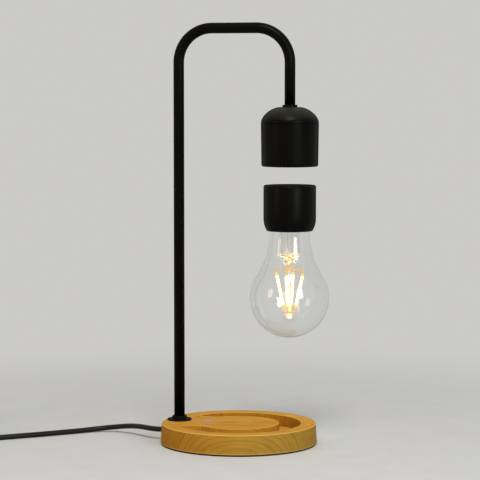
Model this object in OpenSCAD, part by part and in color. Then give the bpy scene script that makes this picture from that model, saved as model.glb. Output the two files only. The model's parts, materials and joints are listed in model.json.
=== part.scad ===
// Levitating table lamp: a round wooden base, an arched tube, a magnetic head
// and a glowing filament bulb that floats under the head.
// Millimetres, +Z up. The origin is the centre of the base on the table,
// and +X runs from the post towards the bulb.

/* [Base] */
// Diameter of the wooden base
base_d = 145; // [140:1:160]
// Height of the wooden base without its pad
wood_h = 18; // [17:0.5:23.5]
// Rounding of the base's upper edge
base_edge_r = 1; // [0.5:0.25:2]
// Rounding of the base's lower edge
base_low_r = 0.5; // [0.25:0.25:1]
// How far the side of the base leans out towards the table
base_flare = 0.9; // [0.4:0.1:1.5]
// Width of the rim round the carved channel
rim_w = 14.2; // [12:0.1:16]
// Diameter of the raised round in the middle
island_d = 76; // [74:0.5:82]
// Width of the raised neck at its waist
neck_w = 54.6; // [50:0.2:58]
// Distance from the middle of the base to the waist of the neck
waist_x = 34.6; // [32:0.1:37]
// Depth of the carved channel
channel_depth = 11; // [6:0.5:11.5]
// Corner radius at the two ends of the channel
channel_end_r = 5; // [3:0.5:7]
// Thickness of the anti-slip pad
pad_t = 1.5; // [1:0.25:4]
// Step from the side of the base in to the pad
pad_inset = 0.75; // [0.25:0.25:2]

/* [Inside the base] */
// Thickness of the steel bottom plate
plate_t = 1.5; // [1:0.25:2.5]
// Wood left between the bottom plate and the side of the base
plate_wall = 2.4; // [2:0.2:4]
// Wood left above the pocket for the electronics
island_skin = 2.5; // [1.5:0.25:4]
// Wood left between that pocket and the carved channel
pocket_wall = 5; // [4:0.5:7]
// Width of the pocket under the neck
neck_pocket_w = 36; // [34:0.5:40]
// Wood left above the pocket under the neck
neck_skin = 3.5; // [3:0.25:5.5]
// Wood left between the neck pocket and the cord hole's mouth
back_wall = 3.5; // [3:0.25:5]
// Diameter of the screws that hold the bottom plate
plate_screw_d = 3; // [2.5:0.25:4]
// Length of those screws
plate_screw_l = 10; // [8:0.5:12]
// Length of the control board
board_l = 44; // [36:1:46]
// Width of the control board
board_w = 36; // [32:1:38]
// Thickness of the control board
board_t = 1.6; // [1:0.2:2]
// Height of the spacers under the control board
spacer_h = 2.5; // [1.5:0.25:3.5]
// Diameter of the screws that hold the control board
board_screw_d = 2.5; // [2:0.25:3]
// Distance from the centre of the base to the touch point
touch_x = 30.3; // [28:0.1:34]
// Diameter of the light guide in the touch point
guide_d = 3.5; // [2.5:0.25:5]
// Side of the small touch board
touch_board_w = 16; // [12:0.5:20]
// Height of the indicator diode
led_h = 1.6; // [1:0.1:2]

/* [Arm] */
// Outer diameter of the tube
tube_d = 10; // [9:0.25:12]
// Wall of the tube
tube_wall = 1; // [0.8:0.1:1.4]
// Distance from the side of the base in to the post
post_inset = 14.2; // [13.5:0.1:17]
// Distance from the post to the bulb's axis
arm_reach = 107.3; // [98:0.1:112]
// Height of the top bar's centre above the table
arm_h = 389; // [375:0.2:420]
// Radius of the two bends, at the tube's centre
bend_r = 32; // [26:0.5:40]
// Diameter of the foot flange
flange_d = 23; // [20:0.2:26]
// Thickness of the foot flange
flange_t = 1.5; // [1:0.25:3]
// Diameter of the hub on the flange
hub_d = 14; // [12.8:0.2:17]
// Height of the hub on the flange
hub_h = 3; // [2:0.25:4]
// Diameter of the bore in the threaded stud
stud_bore = 5; // [4.5:0.25:5.5]
// Length of the stud inside the tube
stud_grip = 18; // [12:1:30]
// Diameter of the washer under the wood
washer_d = 20; // [16:0.5:22]
// Thickness of the washer under the wood
washer_t = 1; // [0.8:0.1:1.4]
// Width across the flats of the arm nut
nut_af = 13; // [12:0.5:15]
// Height of the arm nut
nut_h = 2.8; // [2.4:0.2:3.4]
// Diameter of the wires inside the arm
wires_d = 3.2; // [2.4:0.1:3.6]

/* [Head] */
// Height of the head's underside above the table
head_z = 261; // [250:0.5:275]
// Diameter of the head at its seam
head_d = 53.7; // [52:0.1:60]
// Diameter of the head at its underside
head_low_d = 52.7; // [51.4:0.1:58]
// Height of the lower shell of the head
head_shell_h = 40.2; // [39.4:0.2:46]
// Height of the dome above the seam
dome_h = 14.6; // [12.6:0.2:18]
// Radius of the flat on top of the dome
dome_flat_r = 10; // [9:0.1:11]
// Wall of the head's shell and dome
head_wall = 2; // [1.5:0.1:2.2]
// Rounding of the head's lower edge
head_edge_r = 1.8; // [1:0.1:2]
// Depth of the seam between shell and dome
seam_d = 0.4; // [0.2:0.1:0.6]
// Diameter of the collar on the tube
collar_d = 14; // [13:0.2:16]
// Height of the collar on the tube
collar_h = 2.2; // [1:0.2:4]
// Height of the nut under the dome
head_nut_h = 3; // [2.5:0.25:4]
// Outer diameter of the nut under the dome
head_nut_d = 17; // [15:0.5:18]

/* [Inside the head] */
// Outer diameter of the flat transmitter coil
tx_coil_d = 42; // [36:0.5:45]
// Inner diameter of the flat transmitter coil
tx_hole_d = 20; // [19:0.5:26]
// Thickness of the flat transmitter coil
tx_coil_t = 1.6; // [1.4:0.1:2.2]
// Thickness of the ferrite sheet over it
ferrite_t = 0.8; // [0.7:0.1:1.2]
// Diameter of the Hall sensor board
hall_board_d = 16; // [12:0.5:17]
// Outer diameter of the lifting coil's bobbin
bobbin_d = 44; // [40:0.5:46]
// Height of the bobbin
bobbin_h = 20; // [18:0.5:21]
// Thickness of the bobbin's flanges
bobbin_flange_t = 1.2; // [1:0.1:1.6]
// Diameter of the winding on the bobbin
winding_d = 40; // [34:0.5:43]
// Diameter of the iron core
core_d = 12; // [10:0.5:14]
// Thickness of the pole plate on the core
pole_t = 2.4; // [2:0.2:3]
// Diameter of the bias magnet
bias_d = 38; // [34:0.5:42]
// Thickness of the bias magnet
bias_t = 5; // [4:0.25:5.5]
// Diameter of the head's circuit board
head_board_d = 48; // [46:0.5:48.4]

/* [Floating holder] */
// Free height between the head and the floating holder
float_gap = 17.3; // [12:0.1:20]
// Height of the holder
holder_h = 42.4; // [42:0.1:48]
// Diameter of the holder
holder_d = 48.8; // [47.4:0.1:52]
// Height over which the holder's side stays straight
holder_straight_h = 31; // [26:0.5:33]
// Diameter of the holder at its foot
holder_foot_d = 42.2; // [40.6:0.1:43.4]
// Wall of the holder
holder_wall = 2; // [1.6:0.1:2.2]
// Chamfer of the holder's top edge
holder_chamfer = 1; // [0.6:0.1:1.4]
// Thickness of the cap that closes the holder
cap_t = 2.2; // [1.6:0.1:3]
// Depth of the cap below the rim
cap_sink = 0.2; // [0.1:0.05:0.4]
// Diameter of the floating magnet
magnet_d = 20; // [18:0.5:21]
// Height of the magnet carrier
carrier_h = 10; // [9:0.25:11]
// Thickness of the carrier's floor under the magnet
carrier_floor = 1.2; // [1:0.1:2]
// Length of the carrier's posts down to the driver board
carrier_post = 5; // [4:0.25:5.5]
// Diameter of the driver board in the holder
driver_d = 38; // [36:0.5:41]

/* [Bulb] */
// Diameter of the glass neck
neck_d = 37.4; // [36.6:0.1:37.8]
// Largest diameter of the glass
bulb_d = 74.2; // [70:0.1:80]
// Length of glass that shows below the holder
bulb_l = 99.7; // [94:0.1:106]
// Wall of the glass
glass_t = 0.9; // [0.7:0.1:1.2]
// Length of the glass neck hidden in the holder
neck_hidden = 12; // [10:0.5:13]
// Diameter of the glass stem's tube
stem_d = 19; // [14:0.5:22]
// Length of the stem's tube below the holder
stem_l = 22; // [14:0.5:26]
// Height of the stem's funnel
funnel_h = 12; // [8:0.5:16]
// Diameter of the glass column between the filaments
column_d = 3.2; // [2.6:0.1:4]
// Number of filament sticks
sticks = 4; // [3:1:6]
// Turn of the first stick round the bulb's axis
stick_turn = 89; // [0:1:90]
// Height of the upper spider below the holder
spider_drop = 36.3; // [34.5:0.1:38]
// Length of the filament assembly between the two spiders
cage_h = 39.9; // [36:0.1:44]
// Distance of the sticks' upper ends from the axis
stick_top_r = 12.75; // [9:0.25:14]
// Distance of the sticks' lower ends from the axis
stick_low_r = 5.7; // [4:0.1:7]
// Diameter of a filament stick
stick_d = 2.4; // [1.6:0.1:3]
// Length of the bare end caps of the sticks
stick_cap_l = 2.2; // [1.4:0.1:3]
// Diameter of the support wires
wire_d = 0.9; // [0.6:0.1:1.2]
// Reach of the upper spider's arms
spider_r = 15.3; // [14.2:0.1:16]

/* [Cord] */
// Diameter of the power cord
cord_d = 5; // [4:0.1:5.4]
// Height of the cord hole's axis above the table
cord_z = 9.5; // [9.3:0.1:10.5]
// Number of turns in the stored coil
coil_turns = 7.37; // [7.37:1:9.37]
// Radius of the inmost turn
coil_in_r = 17.5; // [16:0.5:24]
// Free space between turns
turn_gap = 0.45; // [0.45:0.05:1]
// Diameter of the grommet's flanges
grommet_d = 10; // [9.4:0.1:10.4]
// Thickness of the grommet's outer flange
grommet_t = 2.5; // [2:0.25:2.5]

/* [Adapter] */
// Length of the wall adapter
adapter_l = 58; // [50:1:64]
// Width of the wall adapter
adapter_w = 38; // [32:1:42]
// Thickness of the wall adapter
adapter_h = 27; // [24:1:32]
// Corner radius of the wall adapter
adapter_r = 5; // [3:0.5:8]
// Length of the adapter's bend relief
boot_l = 22; // [20:1:30]
// Length of the two flat pins
pin_l = 15; // [14:0.5:17]
// Width of the two flat pins
pin_w = 6.3; // [6:0.1:6.5]
// Thickness of the two flat pins
pin_t = 1.5; // [1.4:0.1:1.6]
// Distance between the two flat pins
pin_gap = 12.7; // [12:0.1:14]

/* [Fits] */
// Clearance round fixed parts that slip into each other
fit = 0.1; // [0.05:0.05:0.2]
// Clearance of threads and of screws in their holes
thread_fit = 0.05; // [0.02:0.01:0.1]
// Clearance between the magnet and the part that spins round it
spin_fit = 0.3; // [0.2:0.05:0.5]

/* [Hidden] */

$fn = 96;

// Colours
wood_c = "#cf9440";
black_c = "#17181a";
rubber_c = "#101011";
steel_c = "#8d9196";
brass_c = "#b8923f";
board_c = "#1f5a3a";
copper_c = "#b06a35";
ferrite_c = "#3b3b3e";
magnet_c = "#a9adb3";
glass_c = [0.85, 0.9, 0.92, 0.3];
glow_c = "#fff1c0";
amber_c = "#e0a51c";
nylon_c = "#d9d8d0";

// Heights in the base
plate_z = pad_t;
plate_top = plate_z + plate_t;
base_top = pad_t + wood_h;
island_roof = base_top - island_skin;
neck_roof = base_top - neck_skin;

// Plan of the base
base_r = base_d / 2;
channel_r = base_r - rim_w;
island_r = island_d / 2;
waist_r = neck_w / 2;
plate_r = base_r - plate_wall;
pocket_r = island_r - pocket_wall;
post_x = -(base_r - post_inset);
back_x = -(base_r - back_wall);
bulb_x = post_x + arm_reach;
screw_r = base_r - rim_w / 2;

// The circle that curves each side of the neck touches the raised round,
// and the corner circle touches that one and the channel's outer wall.
side_r = (waist_x * waist_x + waist_r * waist_r - island_r * island_r) / (2 * (island_r - waist_r));
side_c = [-waist_x, -(waist_r + side_r)];
touch_line_x = side_c.x * island_r / (island_r + side_r);
end_a = channel_r - channel_end_r;
end_b = side_r - channel_end_r;
side_dist = norm(side_c);
end_along = (end_a * end_a - end_b * end_b + side_dist * side_dist) / (2 * side_dist);
end_across = sqrt(end_a * end_a - end_along * end_along);
side_dir = side_c / side_dist;
end_c = side_dir * end_along + [side_dir.y, -side_dir.x] * end_across;

// Control board
board_x = pocket_r - board_l / 2 - 7.5;
board_z = plate_top + spacer_h;
board_top = board_z + board_t;
board_left = board_x - board_l / 2;
spacer_d = 2 * board_screw_d;
board_hole_inset = 4;
terminal_h = 5;
terminal_l = 8;
terminal_w = 9;
wire_in_z = board_top + terminal_h / 2;
cord_in_y = -7;

// Arm foot
stud_d = tube_d - 2 * tube_wall - 2 * thread_fit;
nut_top = neck_roof - washer_t;
nut_low = nut_top - nut_h;
tube_low = base_top + flange_t;

// Arm head end
dome_top = head_z + head_shell_h + dome_h;
seam_z = head_z + head_shell_h;
tube_end = dome_top - head_wall - head_nut_h - 2;
bar_z = arm_h;
bar_l = arm_reach - 2 * bend_r;

// Head stack
head_floor = head_z + head_wall;
tx_top = head_floor + tx_coil_t;
ferrite_top = tx_top + ferrite_t;
bobbin_top = ferrite_top + bobbin_h;
pole_top = bobbin_top + pole_t;
bias_top = pole_top + bias_t;
head_board_t = 1.6;
bobbin_wall = 1.6;
dome_skirt_h = 3;
head_board_top = seam_z - dome_skirt_h;
head_board_z = head_board_top - head_board_t;
shell_bore_r = head_low_d / 2 - head_wall;
head_socket_h = 4.6;

// Holder
holder_top = head_z - float_gap;
holder_low = holder_top - holder_h;
holder_r = holder_d / 2;
foot_rise = holder_h - holder_straight_h;
foot_draw = (holder_d - holder_foot_d) / 2;
holder_curve_r = (foot_rise * foot_rise + foot_draw * foot_draw) / (2 * foot_draw);
holder_bore_r = holder_r - holder_wall;
cap_top = holder_top - cap_sink;
cap_z = cap_top - cap_t;
rx_t = 1.6;
rx_z = cap_z - rx_t;
rx_ferrite_t = 0.8;
rx_ferrite_z = rx_z - rx_ferrite_t;
carrier_z = rx_ferrite_z - carrier_h;
ledge_w = 0.8;
lower_bore_r = holder_bore_r - ledge_w;
driver_t = 1.6;
driver_top = carrier_z - carrier_post;
driver_z = driver_top - driver_t;
magnet_z = carrier_z + carrier_floor + spin_fit;
magnet_top = cap_z - spin_fit;
neck_r = neck_d / 2;
neck_top = holder_low + neck_hidden;
cement_t = 1.2;
cement_r = neck_r + cement_t;
lip_h = 1.4;

// Glass
bulb_r = bulb_d / 2;
bulb_tip = holder_low - bulb_l;
bulb_c = bulb_tip + bulb_r;
shoulder_rise = holder_low - bulb_c;
shoulder_r = (shoulder_rise * shoulder_rise / (bulb_r - neck_r) - (bulb_r + neck_r)) / 2;
shoulder_a = atan2(shoulder_rise, neck_r + shoulder_r);
stem_r = stem_d / 2;
stem_wall = 1;
funnel_top = holder_low - stem_l;
funnel_low = funnel_top - funnel_h;
column_r = column_d / 2;
spider_z = holder_low - spider_drop;
cage_low = spider_z - cage_h;
stick_top = spider_z - 3.7;
stick_low = cage_low + 5;
wire_seat = 0.1;
column_low = cage_low - 6;
bead_r = column_r + 0.4;
lead_r = 0.3;
lead_x = column_r + 0.5;
spider_ring_h = 1.4;
lead_low = spider_z + spider_ring_h / 2;

// Cord and coil
hole_fit_r = cord_d / 2 + thread_fit;
grommet_body_r = cord_d / 2 + 1.3;
grommet_out = -(base_r + grommet_t);
ground_z = cord_d / 2 + 0.1;
coil_pitch = cord_d + turn_gap;
coil_out_r = coil_in_r + coil_pitch * coil_turns / 2;
coil_x = -270;
coil_y = -38;
coil_start_a = -47;
coil_step = 1 / 24;
coil_dir = [sin(coil_start_a), -cos(coil_start_a), 0];
coil_first = [coil_x + coil_out_r * cos(coil_start_a), coil_y + coil_out_r * sin(coil_start_a), ground_z];
coil_mouth = coil_first - coil_dir * cord_d;
coil_high = ground_z + coil_pitch;
coil_end_a = coil_start_a - 360 * coil_turns;
coil_last = [coil_x + coil_out_r * cos(coil_end_a), coil_y + coil_out_r * sin(coil_end_a), coil_high];
tail_dir = [sin(coil_end_a), -cos(coil_end_a), 0];
boot_gap = 30;
boot_z = adapter_h / 2;
boot_rise = boot_z - coil_high;
boot_tip = coil_last + tail_dir * boot_gap + [0, 0, boot_rise];
adapter_near = boot_tip + tail_dir * boot_l;
boot_low_r = 4.4;
cord_sides = 10;
coil_sides = 6;

// The stretch that lies free, from the grommet to just before the coil
cord_route = [
    [grommet_out, 0, cord_z], [-79, 0.1, cord_z], [-84, 1.2, cord_z], [-90, 4, cord_z - 0.05], [-98, 9.7, 9.2],
    [-107, 16, 8.5], [-115.4, 21.3, 7.4], [-123.5, 24.7, 6.2], [-131, 26.2, 5.1], [-138.2, 26, 4.2],
    [-144.6, 24.1, 3.5], [-150.8, 20.7, 3], [-156.3, 16.2, 2.7], [-162, 10.6, ground_z],
    [-170, 2.4, ground_z], [-181, -8.2, ground_z], [-192.4, -18.9, ground_z], [-207.4, -32.3, ground_z],
    [-221, -44.2, ground_z], coil_mouth - coil_dir * 16, coil_mouth
];

// Paths
function spline_point(a, b, c, d, t) =
    (2 * b + (c - a) * t + (2 * a - 5 * b + 4 * c - d) * t * t + (3 * b - a - 3 * c + d) * t * t * t) / 2;
function smooth_path(p, steps) = [
    for (i = [0 : len(p) - 2], j = [0 : steps - 1])
        spline_point(p[max(i - 1, 0)], p[i], p[i + 1], p[min(i + 2, len(p) - 1)], j / steps),
    p[len(p) - 1]
];
function unit(v) = v / norm(v);
function path_dir(p, i) = unit(p[min(i + 1, len(p) - 1)] - p[max(i - 1, 0)]);
function path_length(p, i = 0) = i > len(p) - 2 ? 0 : norm(p[i + 1] - p[i]) + path_length(p, i + 1);
function smooth_step(t) = t <= 0 ? 0 : t >= 1 ? 1 : t * t * (3 - 2 * t);
function arc_points(c, r, from, to, steps) =
    [for (i = [0 : steps]) c + r * [cos(from + (to - from) * i / steps), sin(from + (to - from) * i / steps)]];

// Coil: the lower layer winds in, the upper layer winds out
function coil_radius(t) = coil_in_r + coil_pitch * abs(t - coil_turns / 2);
function coil_height(t) = ground_z + coil_pitch * smooth_step((t - coil_turns / 2) * 2 + 0.5);
function coil_point(t) = [
    coil_x + coil_radius(t) * cos(coil_start_a - 360 * t),
    coil_y + coil_radius(t) * sin(coil_start_a - 360 * t),
    coil_height(t)
];
coil_path = concat(
    [coil_mouth],
    [for (t = [0 : coil_step : coil_turns]) coil_point(t)],
    [coil_last],
    [for (k = [0 : 4]) coil_last + tail_dir * (cord_d + k * (boot_gap - 2 * cord_d) / 4)
        + [0, 0, boot_rise * smooth_step(k / 4)]],
    [boot_tip]
);
coil_gap = min([
    for (i = [1 : len(coil_path) - 20], j = [i + 14 : len(coil_path) - 3]) norm(coil_path[i] - coil_path[j])
]) - cord_d;

// Sweeps a round tube along a path; across is a direction that the path never takes
module tube_along(p, r, sides, across) {
    n = len(p);
    rings = [
        for (i = [0 : n - 1])
            let (d = path_dir(p, i), u = unit(cross(across, d)), v = cross(d, u))
                for (k = [0 : sides - 1]) p[i] + r * (cos(360 * k / sides) * u + sin(360 * k / sides) * v)
    ];
    walls = [
        for (i = [0 : n - 2], k = [0 : sides - 1])
            let (a = i * sides + k, b = i * sides + (k + 1) % sides)
                each [[a, a + sides, b + sides], [a, b + sides, b]]
    ];
    first = [for (k = [1 : sides - 2]) [0, k, k + 1]];
    last = [for (k = [1 : sides - 2]) [(n - 1) * sides, (n - 1) * sides + k + 1, (n - 1) * sides + k]];
    polyhedron(points = rings, faces = concat(walls, first, last), convexity = 10);
}

// A round bar between two points
module rod(a, b, r) {
    d = b - a;
    translate(a)
        rotate([0, acos(d.z / norm(d)), atan2(d.y, d.x)])
            cylinder(h = norm(d), r = r, $fn = 24);
}

module ring(outer_r, inner_r, h) {
    difference() {
        cylinder(h = h, r = outer_r);
        translate([0, 0, -1]) cylinder(h = h + 2, r = inner_r);
    }
}

module block(c, size) {
    translate([c.x - size.x / 2, c.y - size.y / 2, c.z]) cube(size);
}

module round_block(l, w, h, r) {
    block([0, 0, 0], [l - 2 * r, w, h]);
    block([0, 0, 0], [l, w - 2 * r, h]);
    for (x = [-1, 1], y = [-1, 1])
        translate([x * (l / 2 - r), y * (w / 2 - r), 0]) cylinder(h = h, r = r);
}

module at_bulb(z) {
    translate([bulb_x, 0, z]) children();
}

module board_corners() {
    for (x = [-1, 1], y = [-1, 1])
        translate([board_x + x * (board_l / 2 - board_hole_inset), y * (board_w / 2 - board_hole_inset), 0])
            children();
}

module plate_corners() {
    for (a = [45 : 90 : 315])
        rotate([0, 0, a]) translate([screw_r, 0, 0]) children();
}

// Base
module anti_slip_pad() {
    color(rubber_c) cylinder(h = pad_t, r = base_r + base_flare - pad_inset);
}

module base_plate() {
    head_r = plate_screw_d;
    color(steel_c)
        difference() {
            translate([0, 0, plate_z]) cylinder(h = plate_t, r = plate_r - fit);
            plate_corners() {
                translate([0, 0, plate_z - 0.01])
                    cylinder(h = plate_t + 0.02, r1 = head_r + thread_fit, r2 = plate_screw_d / 2 + thread_fit);
            }
            board_corners() {
                translate([0, 0, plate_z - 1]) cylinder(h = plate_t + 2, r = board_screw_d / 2 + thread_fit);
            }
            translate([clamp_x, cord_in_y - clamp_hole_y, plate_z - 1])
                cylinder(h = plate_t + 2, r = clamp_screw_r + thread_fit);
        }
}

module plate_screws() {
    color(steel_c)
        plate_corners() {
            translate([0, 0, plate_z])
                cylinder(h = plate_t, r1 = plate_screw_d, r2 = plate_screw_d / 2);
            translate([0, 0, plate_top]) cylinder(h = plate_screw_l - plate_t - 1.5, r = plate_screw_d / 2);
            translate([0, 0, plate_z + plate_screw_l - 1.5])
                cylinder(h = 1.5, r1 = plate_screw_d / 2, r2 = plate_screw_d / 8);
        }
}

// The raised neck between its two side circles, left of the line where they touch the round
module neck_plan() {
    difference() {
        translate([-base_r, side_c.y]) square([base_r + touch_line_x, -2 * side_c.y]);
        for (s = [-1, 1]) translate([side_c.x, s * side_c.y]) circle(side_r);
    }
}

// Fills the sharp corner at a channel end, up to the round corner circle
module corner_fill(s) {
    on_wall = unit(end_c) * (channel_r + 3);
    on_side = side_c + unit(end_c - side_c) * (side_r + 3);
    beyond = end_c + unit(on_wall + on_side - 2 * end_c) * 3.2 * channel_end_r;
    polygon([for (q = [end_c, on_wall, beyond, on_side]) [q.x, s * q.y]]);
}

module channel_plan() {
    difference() {
        circle(channel_r);
        circle(island_r);
        neck_plan();
        for (s = [-1, 1]) corner_fill(s);
    }
    for (s = [-1, 1]) translate([end_c.x, s * end_c.y]) circle(channel_end_r);
}

module wood_base() {
    color(wood_c)
        difference() {
            translate([0, 0, pad_t])
                rotate_extrude()
                    polygon(concat(
                        [[0, 0]],
                        arc_points([base_r + base_flare - base_low_r, base_low_r], base_low_r, -90, 0, 4),
                        arc_points([base_r - base_edge_r, wood_h - base_edge_r], base_edge_r, 0, 90, 6),
                        [[0, wood_h]]
                    ));
            translate([0, 0, base_top - channel_depth]) linear_extrude(channel_depth + 1) channel_plan();
            translate([0, 0, plate_z - 1]) cylinder(h = plate_t + 1, r = plate_r);
            translate([0, 0, plate_top - 0.5]) cylinder(h = island_roof - plate_top + 0.5, r = pocket_r);
            intersection() {
                translate([back_x, -neck_pocket_w / 2, plate_top - 0.5])
                    cube([-back_x, neck_pocket_w, neck_roof - plate_top + 0.5]);
                cylinder(h = neck_roof, r = -back_x);
            }
            translate([post_x, 0, 0]) cylinder(h = base_top + 1, r = stud_d / 2 + fit);
            translate([-touch_x, 0, 0]) cylinder(h = base_top + 1, r = guide_d / 2 + thread_fit);
            translate([0, 0, cord_z])
                rotate([0, -90, 0]) translate([0, 0, -back_x - 1])
                    cylinder(h = back_wall + 3, r = grommet_body_r + thread_fit);
            translate([0, 0, cord_z])
                rotate([0, -90, 0]) translate([0, 0, base_r]) cylinder(h = grommet_t, r = grommet_d / 2 + thread_fit);
            plate_corners() {
                translate([0, 0, plate_z]) cylinder(h = plate_screw_l + 0.5, r = plate_screw_d / 2 + thread_fit);
            }
        }
}

module control_board() {
    color(board_c)
        difference() {
            block([board_x, 0, board_z], [board_l, board_w, board_t]);
            board_corners() {
                translate([0, 0, board_z - 1]) cylinder(h = board_t + 2, r = board_screw_d / 2 + thread_fit);
            }
        }
}

module board_parts() {
    color(black_c) {
        block([board_left + terminal_l / 2, cord_in_y, board_top], [terminal_l, terminal_w, terminal_h]);
        block([board_left + terminal_l / 2, 3, board_top], [terminal_l, terminal_w, terminal_h]);
        block([board_x + 2, -4, board_top], [8, 8, 1.4]);
        block([board_x + 12, 3, board_top], [6.5, 6, 2.2]);
        block([board_x + 12, -5, board_top], [6.5, 6, 2.2]);
    }
    color(ferrite_c) translate([board_x + 1, 9, board_top]) cylinder(h = 4, r = 4);
    color("#39506e") translate([board_x + 12, 12, board_top]) cylinder(h = 4.8, r = 2.8);
}

module board_spacers() {
    color(brass_c)
        board_corners() {
            translate([0, 0, plate_top]) ring(spacer_d / 2, board_screw_d / 2 + thread_fit, spacer_h);
        }
}

module board_screws() {
    color(steel_c)
        board_corners() {
            translate([0, 0, plate_z]) cylinder(h = board_top - plate_z, r = board_screw_d / 2);
            translate([0, 0, board_top]) cylinder(h = 1.5, r = board_screw_d * 0.9);
        }
}

module touch_board() {
    color(board_c) block([-touch_x, 0, neck_roof - 1], [touch_board_w, touch_board_w, 1]);
}

module indicator_led() {
    color("#7f6bff") translate([-touch_x, 0, neck_roof]) cylinder(h = led_h, r = guide_d / 2 - fit);
}

module light_guide() {
    color("#b9b4ff")
        translate([-touch_x, 0, neck_roof + led_h]) cylinder(h = neck_skin - led_h, r = guide_d / 2);
}

// Cord inside the base
clamp_x = post_x + 15;
clamp_w = 7;
clamp_screw_r = 1.25;
clamp_wall = 1.4;
clamp_head_r = 2.2;
clamp_hole_y = cord_d / 2 + clamp_wall + clamp_head_r + 0.2;
low_cord_z = plate_top + cord_d / 2 + 0.1;
under_nut_z = min(cord_z - 0.9, nut_low - cord_d / 2 - 0.9);
grommet_lip = 1.2;
lip_seat = 0.2;
tail_route = [
    [grommet_out, 0, cord_z], [back_x - 2, 0, cord_z], [back_x + grommet_lip + 0.1, 0, cord_z],
    [back_x + 3.3, 0, cord_z], [post_x - 3.5, -3.6, under_nut_z], [post_x + 1.9, cord_in_y + 0.7, low_cord_z + 1.1],
    [clamp_x - clamp_w / 2, cord_in_y, low_cord_z],
    [clamp_x + clamp_w / 2, cord_in_y, low_cord_z], [board_left - 9, cord_in_y, low_cord_z + 1.6],
    [board_left - 4, cord_in_y, wire_in_z - 0.3], [board_left, cord_in_y, wire_in_z]
];

module cord_grommet() {
    color(rubber_c)
        difference() {
            union() {
                translate([0, 0, cord_z]) rotate([0, -90, 0]) {
                    translate([0, 0, base_r]) cylinder(h = grommet_t, r1 = grommet_d / 2, r2 = grommet_d / 2 - 0.8);
                    translate([0, 0, -back_x - grommet_lip]) cylinder(h = back_wall + grommet_lip, r = grommet_body_r);
                    translate([0, 0, -back_x - grommet_lip]) cylinder(h = grommet_lip - lip_seat, r = grommet_d / 2 - 1);
                }
            }
            translate([0, 0, cord_z])
                rotate([0, -90, 0]) translate([0, 0, -back_x - 3]) cylinder(h = base_r, r = hole_fit_r);
        }
}

module cord_tail() {
    color(rubber_c) tube_along(smooth_path(tail_route, 4), cord_d / 2, 10, [0, 0, 1]);
}

// A saddle over the cord, screwed to the bottom plate
module cord_clamp() {
    saddle_h = cord_d + clamp_wall;
    foot_l = clamp_hole_y + 2.8;
    color(nylon_c)
        translate([clamp_x, cord_in_y, plate_top])
            difference() {
                union() {
                    block([0, 0, 0], [clamp_w, cord_d + 2 * clamp_wall, saddle_h]);
                    translate([-clamp_w / 2, -foot_l, 0]) cube([clamp_w, foot_l, 1.6]);
                }
                translate([-clamp_w, 0, low_cord_z - plate_top]) rotate([0, 90, 0])
                    cylinder(h = 2 * clamp_w, r = hole_fit_r);
                translate([-clamp_w, -hole_fit_r, -1]) cube([2 * clamp_w, 2 * hole_fit_r, low_cord_z - plate_top + 1]);
                translate([0, -clamp_hole_y, -1]) cylinder(h = saddle_h, r = clamp_screw_r + thread_fit);
            }
}

module clamp_screw() {
    color(steel_c)
        translate([clamp_x, cord_in_y - clamp_hole_y, plate_z]) {
            cylinder(h = plate_t + 1.6, r = clamp_screw_r);
            translate([0, 0, plate_t + 1.6]) cylinder(h = 1.4, r = clamp_head_r);
        }
}

// Arm
module base_flange() {
    soft_r = hub_d / 2 - tube_d / 2 - 0.6;
    color(black_c)
        translate([post_x, 0, base_top])
            rotate_extrude()
                polygon(concat(
                    [[stud_d / 2 + fit, 0], [flange_d / 2, 0]],
                    arc_points([flange_d / 2 - 0.7, flange_t - 0.7], 0.7, 0, 90, 4),
                    [[hub_d / 2, flange_t]],
                    arc_points([hub_d / 2 - soft_r, flange_t + hub_h - soft_r], soft_r, 0, 90, 4),
                    [[tube_d / 2 + thread_fit, flange_t + hub_h], [tube_d / 2 + thread_fit, flange_t],
                     [stud_d / 2 + fit, flange_t]]
                ));
}

module arm_washer() {
    color(steel_c) translate([post_x, 0, nut_top]) ring(washer_d / 2, stud_d / 2 + fit, washer_t);
}

module arm_nut() {
    color(brass_c)
        translate([post_x, 0, nut_low])
            difference() {
                cylinder(h = nut_h, d = nut_af / cos(30), $fn = 6);
                translate([0, 0, -1]) cylinder(h = nut_h + 2, r = stud_d / 2 + thread_fit);
            }
}

module arm_stud() {
    color(brass_c)
        translate([post_x, 0, nut_low]) ring(stud_d / 2, stud_bore / 2, tube_low + stud_grip - nut_low);
}

// A quarter bend of the arch; side is -1 over the post and 1 over the bulb
module bend(side, r) {
    translate([post_x + arm_reach / 2 + side * bar_l / 2, 0, bar_z - bend_r])
        rotate([90, side < 0 ? -90 : 0, 0])
            rotate_extrude(angle = 90) translate([bend_r, 0]) circle(r, $fn = 48);
}

module arch(r, foot_z, end_z) {
    translate([post_x, 0, foot_z]) cylinder(h = bar_z - bend_r - foot_z, r = r, $fn = 48);
    at_bulb(end_z) cylinder(h = bar_z - bend_r - end_z, r = r, $fn = 48);
    translate([post_x + bend_r, 0, bar_z]) rotate([0, 90, 0]) cylinder(h = bar_l, r = r, $fn = 48);
    for (side = [-1, 1]) bend(side, r);
}

module arm_tube() {
    color(black_c)
        difference() {
            arch(tube_d / 2, tube_low, tube_end);
            arch(tube_d / 2 - tube_wall, tube_low - 1, tube_end - 1);
        }
}

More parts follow.
